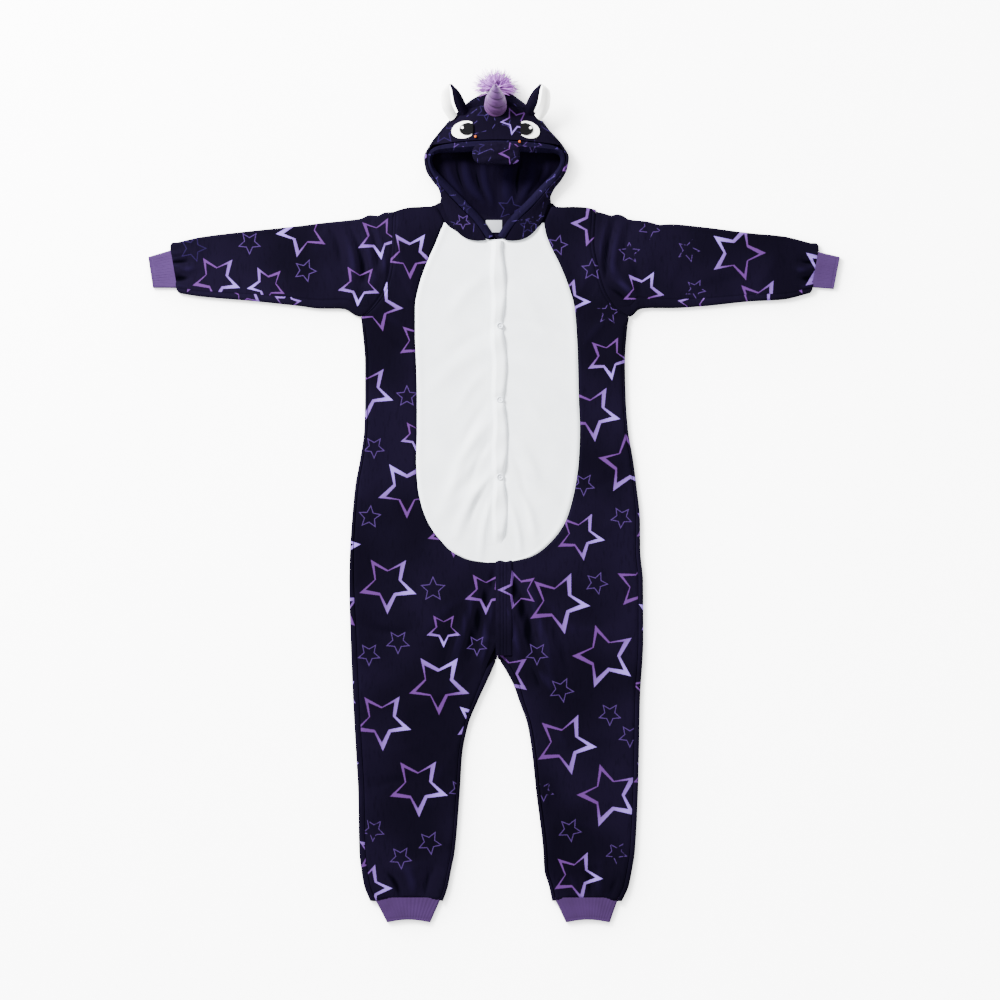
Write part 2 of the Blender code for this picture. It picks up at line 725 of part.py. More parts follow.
def binding_line():
    """The seam that the binding starts from, right round the face: (outer point, way in, width)."""
    line = []
    for side in (LEFT, RIGHT):
        sided = []
        for row in HOOD[: BRIM_ROW + 1]:
            out = getattr(row, f"rim_{side}")
            sided.append(Vector((x_of(side, out), row.rim_y, row.rim_z)))
        line.append(sided)
    brim_y = HOOD[BRIM_ROW].rim_y
    across = [Vector((x, brim_y, face_top(x, brim_y))) for x in seam_points(brim_y)[1:-1]]
    return line[0], across, line[1][::-1]


def hood_binding():
    """A turned band round the face opening, wider over the brow where it is the brim."""
    left, across, right = binding_line()
    points = left + across + right
    rows = []
    for i, point in enumerate(points):
        before, after = points[max(0, i - 1)], points[min(len(points) - 1, i + 1)]
        along_line = Vector((after.x - before.x, after.y - before.y, 0)).normalized()
        inwards = Vector((along_line.y, -along_line.x, 0))
        brow = len(left) <= i < len(left) + len(across)
        share = 1 - abs(2 * (i - len(left) + 1) / (len(across) + 1) - 1) if brow else 0
        width = BAND + BRIM_EXTRA * min(1, 2 * share)
        if i in (len(left) - 1, len(left) + len(across)):
            width *= 1.25
        drop = BRIM_DROP if brow else 3.0
        start = point + inwards * BAND_GAP
        rows.append(
            [
                start,
                start + inwards * width * 0.5 + Vector((0, 0, 0.8)),
                start + inwards * width + Vector((0, 0, -drop)),
            ]
        )
    bm = loft(rows)
    face_towards(bm, Vector((0, 0, 1)))
    return cloth("hood_binding", bm, BAND_WALL, fleece)


def ear(side, kind, edge):
    """One leaf of an ear, from the ridge down to its free edge, bowed outwards."""
    material = felt if kind == "inner" else fleece
    ridge = [Vector(point) for point in EAR_RIDGE] + [Vector(EAR_TIP)]
    free = [Vector(point) for point in edge] + [Vector(EAR_TIP) + Vector((0, 0, -7))]
    rows = []
    for i in range(7):
        share = i / 6 * 3
        low = min(2, int(share))
        top = ridge[low].lerp(ridge[low + 1], share - low)
        bottom = free[low].lerp(free[low + 1], share - low)
        away = (bottom - top).normalized().cross((ridge[-1] - ridge[0]).normalized())
        if away.z < 0:
            away = -away
        row = []
        for step in range(5):
            part = step / 4
            point = top.lerp(bottom, 0.06 + 0.94 * part) + away * 4.0 * math.sin(math.pi * part)
            point.x -= (EAR_SPLIT / 2 + share) * (1 if kind == "inner" else -1)
            out = -point.x - EAR_SHIFT[side]
            row.append((x_of(side, out), point.y, point.z - EAR_DROP[kind][side]))
        rows.append(row)
    bm = loft(rows)
    face_towards(bm, Vector((0, 0, 1)))
    return cloth(f"ear_{kind}_{side}", bm, EAR_WALL, material)


def horn():
    """A stuffed cone with a wound groove. It stands on the forehead and leans back over the crown."""
    base = HORN_BASE + Vector((CENTRE, 0, HORN_SEAT + face_top(CENTRE + HORN_BASE.x, HORN_BASE.y)))
    turns, steps = 12, 16
    rows = []
    for i in range(steps + 1):
        share = i / steps
        lean = math.radians(12 + 34 * min(1, share * 1.6))
        run = HORN_REACH * (0.25 * share + 0.75 * share**1.3)
        middle = base + Vector((0, run, HORN_LENGTH * share))
        radius = HORN_RADIUS * (1 - share) ** 0.68 * (0.9 + 0.1 * min(1, share * 8)) + 3.0 * (1 - share**6)
        row = []
        for j in range(turns):
            angle = 2 * math.pi * j / turns
            groove = GROOVE * math.cos(angle + 2 * math.pi * HORN_TURNS * share) ** 2 * min(1, share * 6)
            size = max(1.0, radius - groove)
            flat = Vector((math.cos(angle), math.sin(angle), 0)) * size
            tilt = lean * min(1, share * 3)
            under = face_top(base.x + flat.x, min(base.y + flat.y, SEAM_TOP)) - base.z + HORN_SEAT
            seat = Vector((0, 0, under * max(0.0, 1 - share * 4)))
            turned = Vector((flat.x, flat.y * math.cos(tilt), -flat.y * math.sin(tilt)))
            row.append(middle + turned + seat)
        rows.append(row)
    bm = loft(rows, ring=True, ends=True)
    foot = min(bm.faces, key=lambda face: face.calc_center_median().z - 100 * (len(face.verts) > 4))
    poked = bmesh.ops.poke(bm, faces=[foot])
    poked["verts"][0].co = base
    bmesh.ops.recalc_face_normals(bm, faces=bm.faces)
    return add_object("horn", bm, satin)


def tuft():
    """A tuft of long pile: tapered locks drawn out of one small backing."""
    bm = bmesh.new()
    bmesh.ops.create_icosphere(bm, subdivisions=2, radius=1.0)
    for vert in bm.verts:
        vert.co = Vector(vert.co[i] * TUFT_CORE[i] for i in range(3))
    chosen = [face for face in bm.faces if face.normal.z > -0.55]
    made = bmesh.ops.extrude_discrete_faces(bm, faces=chosen)
    for i, face in enumerate(made["faces"]):
        middle = face.calc_center_median()
        way = Vector(middle[j] / TUFT_CORE[j] for j in range(3)).normalized()
        length = 0.86 + 0.14 * math.cos(i * 2.4)
        tip = Vector(way[j] * TUFT_REACH[j] * length for j in range(3))
        for vert in face.verts:
            vert.co = tip + (vert.co - middle) * 0.4
    bmesh.ops.translate(bm, vec=TUFT_CENTRE + Vector((CENTRE, 0, 0)), verts=bm.verts)
    bmesh.ops.recalc_face_normals(bm, faces=bm.faces)
    return add_object("mane_tuft", bm, pile)


def patch(name, middle, radii, turn, raised, wall, material, cut=None):
    """A flat shape sewn on the face panel, made from the panel's own heights."""
    rings = (0.34, 0.67, 1.0)
    count = 16
    rows = []
    for ring in rings:
        row = []
        for i in range(count):
            angle = 2 * math.pi * i / count
            dx, dy = ring * radii[0] * math.cos(angle), ring * radii[1] * math.sin(angle)
            x = middle[0] + dx * math.cos(turn) - dy * math.sin(turn)
            y = middle[1] + dx * math.sin(turn) + dy * math.cos(turn)
            if cut is not None:
                x = max(x, cut[0]) if cut[1] > 0 else min(x, cut[0])
            row.append((CENTRE + x, y, face_top(CENTRE + x, y) + raised + wall))
        rows.append(row)
    bm = loft(rows, ring=True)
    bm.verts.ensure_lookup_table()
    bm.faces.new([bm.verts[i] for i in range(count)][::-1])
    face_towards(bm, Vector((0, 0, 1)))
    return cloth(name, bm, wall, material)


def snout():
    """A stuffed muzzle over the middle of the brim, lumpy and flat underneath."""
    bm = bmesh.new()
    bmesh.ops.create_icosphere(bm, subdivisions=3, radius=1.0)
    for vert in bm.verts:
        x, y, z = vert.co
        low = 1 + 0.07 * math.cos(7 * x)
        if x > 0:
            x = x**0.6
        vert.co = Vector((42.5 * x, 20.5 * y * low, 9.0 * z * (1 + 0.12 * math.sin(5 * x + 2))))
        if vert.co.z < -3.5:
            vert.co.z = -3.5
    top = max(face_top(CENTRE + x, HOOD[BRIM_ROW].rim_y) for x in (-20, 0, 20))
    bmesh.ops.translate(bm, vec=(CENTRE - 2.5, 616.5, top + 3.5 + 1.6), verts=bm.verts)
    return add_object("snout", bm, fleece)


def bead(index, x, y):
    """A small round bead on the face."""
    bm = bmesh.new()
    bmesh.ops.create_uvsphere(bm, u_segments=8, v_segments=5, radius=2.9)
    bmesh.ops.translate(bm, vec=(CENTRE + x, y, face_top(CENTRE + x, y) + 3.3), verts=bm.verts)
    return add_object(f"bead_{index}", bm, bead_orange)


def label():
    """A blank folded label, sewn in under the back neck."""
    bm = bmesh.new()
    bmesh.ops.create_cube(bm, size=1.0)
    bmesh.ops.scale(bm, vec=(29.0, 22.0, 1.2), verts=bm.verts)
    bmesh.ops.translate(
        bm, vec=(CENTRE - 6.3, 488.0, FLEECE + SEAM_GAP + 0.6), verts=bm.verts
    )
    return add_object("neck_label", bm, woven)


onesie = bpy.data.collections.new("unicorn_onesie")
bpy.context.scene.collection.children.link(onesie)

fleece = finish("printed_fleece", (0.012, 0.009, 0.035), 0.9)
plush = finish("white_plush", (0.8, 0.81, 0.82), 0.9)
knit = finish("purple_rib_knit", (0.16, 0.08, 0.32), 0.85)
satin = finish("horn_plush", (0.42, 0.25, 0.5), 0.7)
pile = finish("long_pile", (0.45, 0.22, 0.6), 0.8)
felt = finish("white_felt", (0.82, 0.83, 0.81), 0.9)
black_felt = finish("black_felt", (0.02, 0.02, 0.024), 0.85)
snap_white = finish("snap_white", (0.85, 0.85, 0.86), 0.35)
bead_orange = finish("bead_orange", (0.9, 0.32, 0.01), 0.3)
woven = finish("label_white", (0.7, 0.71, 0.73), 0.6)

for side in (LEFT, RIGHT):
    back(side)
    front(side)
    belly(side)
    sleeve(side)
    wrist_cuff(side)
    ankle_cuff(side)
    hood(side)
    ear(side, "outer", EAR_CLOTH)
    ear(side, "inner", EAR_FELT)
placket()
placket_lower()
for index, y in enumerate(SNAP_HEIGHTS, 1):
    snap(index, y)
hood_face()
hood_binding()
horn()
tuft()
snout()
patch("eye_white_left", (-63, 661.5), (20, 16.5), math.radians(12), SEAM_GAP, FELT, felt)
patch("eye_white_right", (58, 661.5), (18, 15.5), math.radians(-14), SEAM_GAP, FELT, felt)
patch("pupil_left", (-55.5, 661.5), (11, 9.5), 0, SEAM_GAP * 2 + FELT, FELT, black_felt)
patch("pupil_right", (50.5, 661.5), (10, 9.0), 0, SEAM_GAP * 2 + FELT, FELT, black_felt)
bead(1, -39.5, 649.8)
bead(2, 39.6, 640.8)
label()
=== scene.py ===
"""The looks of a child's unicorn onesie in printed fleece, laid flat: its cloth, its face and its trims."""

import math

import bmesh
import bpy
import numpy as np
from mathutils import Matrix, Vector


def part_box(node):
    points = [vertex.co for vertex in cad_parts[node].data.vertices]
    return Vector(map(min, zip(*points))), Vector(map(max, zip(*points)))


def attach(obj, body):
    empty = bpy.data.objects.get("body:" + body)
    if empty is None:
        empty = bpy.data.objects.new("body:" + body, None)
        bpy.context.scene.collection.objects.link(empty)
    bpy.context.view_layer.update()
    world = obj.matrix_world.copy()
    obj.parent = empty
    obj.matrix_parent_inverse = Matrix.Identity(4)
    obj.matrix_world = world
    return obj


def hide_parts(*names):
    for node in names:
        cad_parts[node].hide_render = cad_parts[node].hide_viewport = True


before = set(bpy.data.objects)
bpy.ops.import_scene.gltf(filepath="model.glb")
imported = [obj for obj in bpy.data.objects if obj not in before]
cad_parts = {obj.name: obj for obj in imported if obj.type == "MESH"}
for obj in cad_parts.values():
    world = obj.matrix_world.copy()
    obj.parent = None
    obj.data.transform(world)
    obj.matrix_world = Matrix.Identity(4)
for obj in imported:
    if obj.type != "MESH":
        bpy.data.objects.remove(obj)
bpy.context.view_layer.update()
bpy.ops.object.select_all(action="DESELECT")

MM = 0.001  # every table below is in millimetres
CENTRE = 6.3  # the garment's centre line, along X
SIGN = {"left": -1, "right": 1}


# ---------------------------------------------------------------------------
# The table top, the light and the view. A white sweep lit by one large soft
# lamp from the upper left and a dim one from the other side. The sweep glows,
# and a painted shadow of the cloth dims its glow beside it.

FLOOR_WHITE = "#fdfdfd"
FLOOR_SIZE, FLOOR_Z = 12, -0.0006
FLOOR_GLOW = 5.8  # the table glows evenly, so the lamps' shadows on it stay faint
PAINTED_SHADOW_REACH = 0.16  # metres that the cloth's painted shadow spreads over the glow
PAINTED_SHADOW_LEAN = (-0.62, 0.62, 0.48)  # the painted shadow falls away from this side
PAINTED_SHADOW_FULL, PAINTED_SHADOW_GLOW = 0.55, 0.12  # open sky where the painted shadow is full, and the share of the glow left there
WORLD_LIGHT = 1.35
VIEW_WIDTH = 1.8  # metres of floor across the picture
VIEW_PLACE = (0.0108, -0.0045, 9.0)
SENSOR = 36.0


def linear(code):
    """An sRGB hex colour as linear RGBA."""
    shades = [int(code[i : i + 2], 16) / 255 for i in (1, 3, 5)]
    return [s / 12.92 if s <= 0.04045 else ((s + 0.055) / 1.055) ** 2.4 for s in shades] + [1.0]


def add_node(tree, kind, settings, out=0):
    """Adds a node and gives its output. Each setting is an attribute, a socket's value or a linked output."""
    made = tree.nodes.new("ShaderNode" + kind)
    for key, value in settings.items():
        if isinstance(value, bpy.types.NodeSocket):
            tree.links.new(value, made.inputs[key])
        elif isinstance(key, str) and hasattr(made, key):
            setattr(made, key, value)
        else:
            made.inputs[key].default_value = value
    return made.outputs[out]


def new_material(
    name, roughness, sheen=0.0, sheen_roughness=0.4, tint="#ffffff", specular=0.5, colour="#e7e7e7"
):
    """A material with one Principled shader, its constants set on the shader: (material, tree, shader)."""
    material = bpy.data.materials.new(name)
    material.use_nodes = True
    shader = material.node_tree.nodes["Principled BSDF"]
    for socket, value in (
        ("Base Color", linear(colour)),
        ("Roughness", roughness),
        ("IOR", 1.5),
        ("Specular IOR Level", specular),
        ("Sheen Weight", sheen),
        ("Sheen Roughness", sheen_roughness),
        ("Sheen Tint", linear(tint)),
    ):
        shader.inputs[socket].default_value = value
    return material, material.node_tree, shader


bpy.ops.mesh.primitive_plane_add(size=FLOOR_SIZE, location=(0, 0, FLOOR_Z))
floor = bpy.context.object
floor.name = "white_sweep"
material, tree, shader = new_material("glowing_white_acrylic", 0.9, colour=FLOOR_WHITE)
shader.inputs["Emission Color"].default_value = linear(FLOOR_WHITE)
# Painted shadow: the glow is dimmed where ambient occlusion, its normal leaning towards the key lamp, finds
# cloth near
lean = add_node(tree, "CombineXYZ", dict(enumerate(PAINTED_SHADOW_LEAN)))
open_sky = add_node(tree, "AmbientOcclusion", {"samples": 16, "Distance": PAINTED_SHADOW_REACH, "Normal": lean}, "AO")
shade = {0: open_sky, 1: PAINTED_SHADOW_FULL, 2: 1.0, 3: PAINTED_SHADOW_GLOW * FLOOR_GLOW, 4: FLOOR_GLOW}
glow = add_node(tree, "MapRange", shade)
tree.links.new(glow, shader.inputs["Emission Strength"])
floor.data.materials.append(material)

for name, place, size, power in (
    ("key_lamp", (-2.7, 2.7, 2.6), 1.3, 1130),
    ("fill_lamp", (2.8, -1.8, 4.5), 3.0, 110),
):
    bpy.ops.object.light_add(type="AREA", location=place)
    lamp = bpy.context.object
    lamp.name = name
    lamp.data.size = size
    lamp.data.energy = power
    lamp.rotation_euler = (-Vector(place)).to_track_quat("-Z", "Y").to_euler()

world = bpy.data.worlds.new("studio")
world.use_nodes = True
world.node_tree.nodes["Background"].inputs["Color"].default_value = linear("#ffffff")
world.node_tree.nodes["Background"].inputs["Strength"].default_value = WORLD_LIGHT
bpy.context.scene.world = world

bpy.ops.object.camera_add(location=VIEW_PLACE, rotation=(0, 0, 0))
camera = bpy.context.object
camera.data.sensor_width = SENSOR
camera.data.lens = SENSOR * VIEW_PLACE[2] / VIEW_WIDTH
camera.data.clip_end = 60
bpy.context.scene.camera = camera


# ---------------------------------------------------------------------------
# The back: two halves of printed coral fleece, joined down the centre. They
# lie on the table, roll round at the sides and the inside legs, and come up
# to the seams on top.

ROLL = 9.0  # height of a rolled edge
EDGE_RADIUS = ROLL / 2
FLEECE = 1.9
SEAM_GAP = 0.4
APEX_Y, CROTCH_Y, HEM_Y = -289, -253, -721
ARM_TOP, ARM_LOW, SIDE_TOP = 514, 325, 308  # the armhole, and where the rolled side begins
NECK_EASE = 14  # how far below the shoulder line the cloth is drawn up to it
# Distances outwards from the centre line, at each height
ARMHOLE = (
    ("y", "left", "right"),
    (514, 188, 177), (458, 190, 174), (417, 194, 181), (379, 203, 191), (343, 226, 212), (325, 246, 237),
)
SIDE = (
    ("y", "left", "right"),
    (325, 246, 237), (308, 244, 234), (240, 238.5, 229.5), (176, 238.5, 231), (122, 240, 235),
    (68, 247.5, 244), (22, 256, 250), (-41, 262, 256.5), (-95, 265.5, 257), (-150, 267, 262),
    (-253, 264.5, 262.5), (-365, 260, 256.5), (-464, 254.5, 254.5), (-527, 251, 253), (-635, 249, 247.5),
    (-671, 245, 242), (-698, 240, 236), (-721, 229.5, 224),
)
INSEAM = (
    ("y", "left", "right"),
    (-289, 1, 1), (-311, 10, 15), (-338, 22.5, 29), (-365, 35, 38.5), (-410, 53, 54), (-464, 63.5, 62.5),
    (-527, 67.5, 69), (-635, 76.5, 82), (-671, 83.5, 84), (-698, 89, 92.5), (-721, 98, 98),
)
# Height of the neck and shoulder line, by distance out: under the hood, and along the shoulder
SHOULDER = (
    ("out", "left", "right"),
    (0, 502.8, 502.8), (50, 516.5, 517.5), (96.5, 529.2, 531.2), (104, 531.2, 524), (110, 528, 523),
    (118, 524.5, 523), (136, 523.5, 523.5), (157, 522.5, 522.5), (175, 518.5, 518.5), (188, 514, 514),
)
# How far the back comes round on top before its seam
TUCK = (
    ("y", "left", "right", "inseam"),
    (325, 1.0, 1.0, 0), (60, 1.0, 1.2, 0), (-76, 1.8, 4.0, 0), (-190, 5.0, 5.0, 3), (-289, 6.2, 5.2, 8),
    (-410, 6.5, 5.2, 2.5), (-721, 6.5, 5.2, 2.5),
)


def smooth(xs, ys, at):
    """Values on a smooth line through points, which never overshoots them."""
    order = np.argsort(xs)
    xs, ys, at = np.asarray(xs, float)[order], np.asarray(ys, float)[order], np.asarray(at, float)
    step = np.diff(xs)
    slope = np.diff(ys) / step
    tangent = np.concatenate([slope[:1], np.zeros(len(xs) - 2), slope[-1:]])
    same = slope[:-1] * slope[1:] > 0
    total = np.where(same, slope[:-1] + slope[1:], 1)
    tangent[1:-1] = np.where(same, 2 * slope[:-1] * slope[1:] / total, 0)
    i = np.clip(np.searchsorted(xs, at, side="right") - 1, 0, len(xs) - 2)
    t = np.clip((at - xs[i]) / step[i], 0, 1)
    rise = t * t * (3 - 2 * t)
    start = t * (1 - t) ** 2 * step[i] * tangent[i]
    end = t * t * (t - 1) * step[i] * tangent[i + 1]
    return ys[i] + rise * (ys[i + 1] - ys[i]) + start + end


def along(table, column, y):
    """A table's column at height y, or at many heights."""
    k = table[0].index(column)
    rows = table[1:]
    return smooth([row[0] for row in rows], [row[k] for row in rows], y)


def side_seam(side, y):
    """Distance out to the front's outer edge: the armhole, and below it the seam on the rolled edge."""
    y = np.asarray(y, float)
    low = along(SIDE, side, y) - EDGE_RADIUS - along(TUCK, side, y)
    underarm = along(ARMHOLE, side, ARM_LOW)
    ease = np.clip((y - SIDE_TOP) / (ARM_LOW - SIDE_TOP), 0, 1)
    return np.where(y >= ARM_LOW, along(ARMHOLE, side, y), low + (underarm - low) * ease)


def waves(x, y, seed, size, height):
    """The slight unevenness of cloth that lies loosely: a few long ripples crossing each other."""
    spin = np.random.default_rng(seed)
    total = np.zeros_like(x, dtype=float)
    for _ in range(5):
        turn, phase = spin.uniform(0, 2 * math.pi, 2)
        length = size * spin.uniform(0.6, 1.6)
        total += np.sin((x * math.cos(turn) + y * math.sin(turn)) * 2 * math.pi / length + phase)
    return total * height / 5


def creases(x, y, table):
    """Soft ridges and troughs from one end to the other, bowed a little and fading at both ends."""
    total = np.zeros_like(x, dtype=float)
    for x0, y0, x1, y1, width, height, bow in table:
        run = np.array([x1 - x0, y1 - y0], float)
        length = np.hypot(*run)
        run /= length
        dx, dy = x - CENTRE - x0, y - y0
        t = (dx * run[0] + dy * run[1]) / length
        inside = np.clip(t, 0, 1)
        aside = -dx * run[1] + dy * run[0] - bow * np.sin(math.pi * inside)
        beyond = np.maximum(0, np.maximum(-t, t - 1)) * length
        fade = np.sin(math.pi * (0.08 + 0.84 * inside)) ** 0.7
        total += height * fade * np.exp(-((aside / width) ** 2) - (beyond / (1.5 * width)) ** 2)
    return total


def shell(
    name, grid, wall, material, closed=False, towards=None, lining=None, cap=False, strip=None, folds=None
):
    """A thin cloth shell whose outer side is a grid of points in millimetres, its wall growing inwards.
    lining is a material for the wrong side, cap fills the first row, strip is (material, columns), and
    folds says how high the cloth stands in its creases, from which the fleece paints highlight and shade."""
    grid = np.asarray(grid, float) * MM
    rows, columns = grid.shape[:2]
    index = np.arange(rows * columns).reshape(rows, columns)
    a, b = index[:-1], index[1:]
    if closed:
        right = np.roll(index, -1, axis=1)
        quads = np.stack([a, right[:-1], right[1:], b], axis=-1).reshape(-1, 4)
    else:
        quads = np.stack([a[:, :-1], a[:, 1:], b[:, 1:], b[:, :-1]], axis=-1).reshape(-1, 4)
    mesh = bpy.data.meshes.new(name)
    faces = quads.tolist() + ([list(range(columns))[::-1]] if cap else [])
    mesh.from_pydata(grid.reshape(-1, 3).tolist(), [], faces)
    if folds is not None:
        values = np.asarray(folds, np.float32).ravel()
        mesh.attributes.new("fold", "FLOAT", "POINT").data.foreach_set("value", values)
    piece = bpy.data.objects.new(name, mesh)
    bpy.context.scene.collection.objects.link(piece)
    normals = np.array([face.normal for face in mesh.polygons])
    areas = np.array([face.area for face in mesh.polygons])
    if towards is None:
        centres = np.array([face.center for face in mesh.polygons])
        facing = ((centres - centres.mean(0)) * normals).sum(1) @ areas
    else:
        facing = (normals @ np.array(towards)) @ areas
    if facing < 0:
        mesh.flip_normals()
    bpy.ops.object.select_all(action="DESELECT")
    bpy.context.view_layer.objects.active = piece
    piece.select_set(True)
    wallmaker = piece.modifiers.new("Wall", "SOLIDIFY")
    wallmaker.thickness = wall * MM
    wallmaker.offset = -1
    piece.data.materials.append(material)
    if lining:
        piece.data.materials.append(lining)
        wallmaker.material_offset = 1
    if strip:
        piece.data.materials.append(strip[0])
        band = np.tile(strip[1], rows - 1)
        mesh.polygons.foreach_set("material_index", np.asarray(band, np.int32))
    bpy.ops.object.modifier_apply(modifier="Wall")
    # The table holds every piece up
    places = np.empty(len(piece.data.vertices) * 3, np.float32)
    piece.data.vertices.foreach_get("co", places)
    places[2::3] = np.maximum(places[2::3], 0)
    piece.data.vertices.foreach_set("co", places)
    piece.data.update()
    piece.data.shade_smooth()
    piece.data.set_sharp_from_angle(angle=math.radians(55))
    piece.select_set(False)
    return piece


def take_place(piece, node, slot, **cut):
    """Puts a finished piece on the body, in its solid's place, and hides that solid. slot and cut are not
    used.
    """
    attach(piece, "root")
    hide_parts(node)


# The print: hollow five-pointed stars on navy. A large star is a purple band that fades to lavender
# and widens on one side, and a small one is a thin violet line.
NAVY_LIT, NAVY, NAVY_DEEP = "#0c0816", "#07050e", "#040308"
# The first two are painted light: the navy's painted highlight on crease ridges and its painted shade in
# crease hollows
NAVY_PAINTED_HIGHLIGHT, NAVY_PAINTED_SHADE, FLECK = "#160f29", "#010103", "#4c3a7c"
STAR_PURPLE, STAR_LAVENDER, STAR_LINE, STAR_FAINT = "#45265b", "#755cae", "#382654", "#1b1232"
INNER_CORNER, HOLE_CORNER = 0.47, 0.53  # a star's inner corners and those of its hole, in radii
HOLE_PLACE, HOLE_SIZE = (-0.035, 0.018, 0), (0.745, 0.745, 1)  # in the star's radii
LINE_WIDTH = {"small": 1.2, "worn": 1.2, "faint": 1.2, "medium": 2.0}
LINE_COVER = 0.85  # how much of the navy a thin line hides
# From where to where along a star its purple fades, in radii, and how far it gets towards lavender
FADES = {"large": (-0.15, 0.9, 0, 1.0), "purple": (-0.15, 0.9, 0, 0.25), "medium": (-0.2, 0.6, 0, 1.0)}
EASED = {"interpolation_type": "SMOOTHSTEP"}


def star_depth_group(name, corner):
    """How deep a point lies inside a star of radius 1 that points along +X, in radii."""
    group = bpy.data.node_groups.new(name, "ShaderNodeTree")
    group.interface.new_socket("Vector", in_out="INPUT", socket_type="NodeSocketVector")
    group.interface.new_socket("Depth", in_out="OUTPUT", socket_type="NodeSocketFloat")
    given = group.nodes.new("NodeGroupInput")
    result = group.nodes.new("NodeGroupOutput")
    sector = math.radians(36)
    x, y = (add_node(group, "SeparateXYZ", {0: given.outputs[0]}, axis) for axis in (0, 1))
    squares = [add_node(group, "Math", {"operation": "MULTIPLY", 0: value, 1: value}) for value in (x, y)]
    radius = add_node(group, "Math", {"operation": "ADD", **dict(enumerate(squares))})
    radius = add_node(group, "Math", {"operation": "SQRT", 0: radius})
    # PINGPONG folds the angle back and forth between a tip, at 0, and an inner corner
    angle = add_node(group, "Math", {"operation": "ARCTAN2", 0: y, 1: x})
    folded = add_node(group, "Math", {"operation": "PINGPONG", 0: angle, 1: sector})
    across, up = corner * math.sin(sector), 1 - corner * math.cos(sector)
    length = math.hypot(across, up)
    reach = []
    for wave, share in (("COSINE", across / length), ("SINE", up / length)):
        way = add_node(group, "Math", {"operation": wave, 0: folded})
        reach.append(add_node(group, "Math", {"operation": "MULTIPLY", 0: way, 1: share}))
    reach = add_node(group, "Math", {"operation": "ADD", **dict(enumerate(reach))})
    reach = add_node(group, "Math", {"operation": "MULTIPLY", 0: radius, 1: reach})
    depth = add_node(group, "Math", {"operation": "SUBTRACT", 0: across / length, 1: reach})
    group.links.new(depth, result.inputs[0])
    return group


star_depth = star_depth_group("star_depth", INNER_CORNER)
hole_depth = star_depth_group("star_hole_depth", HOLE_CORNER)


def dyed(tree, under, over, pattern, low, high, start=0.0, end=1.0):
    """One colour over another, its share going from start to end as a pattern rises from low to high."""
    share = add_node(tree, "MapRange", {**EASED, 0: pattern, 1: low, 2: high, 3: start, 4: end})
    return add_node(tree, "Mix", {"data_type": "RGBA", 0: share, 6: under, 7: over}, 2)


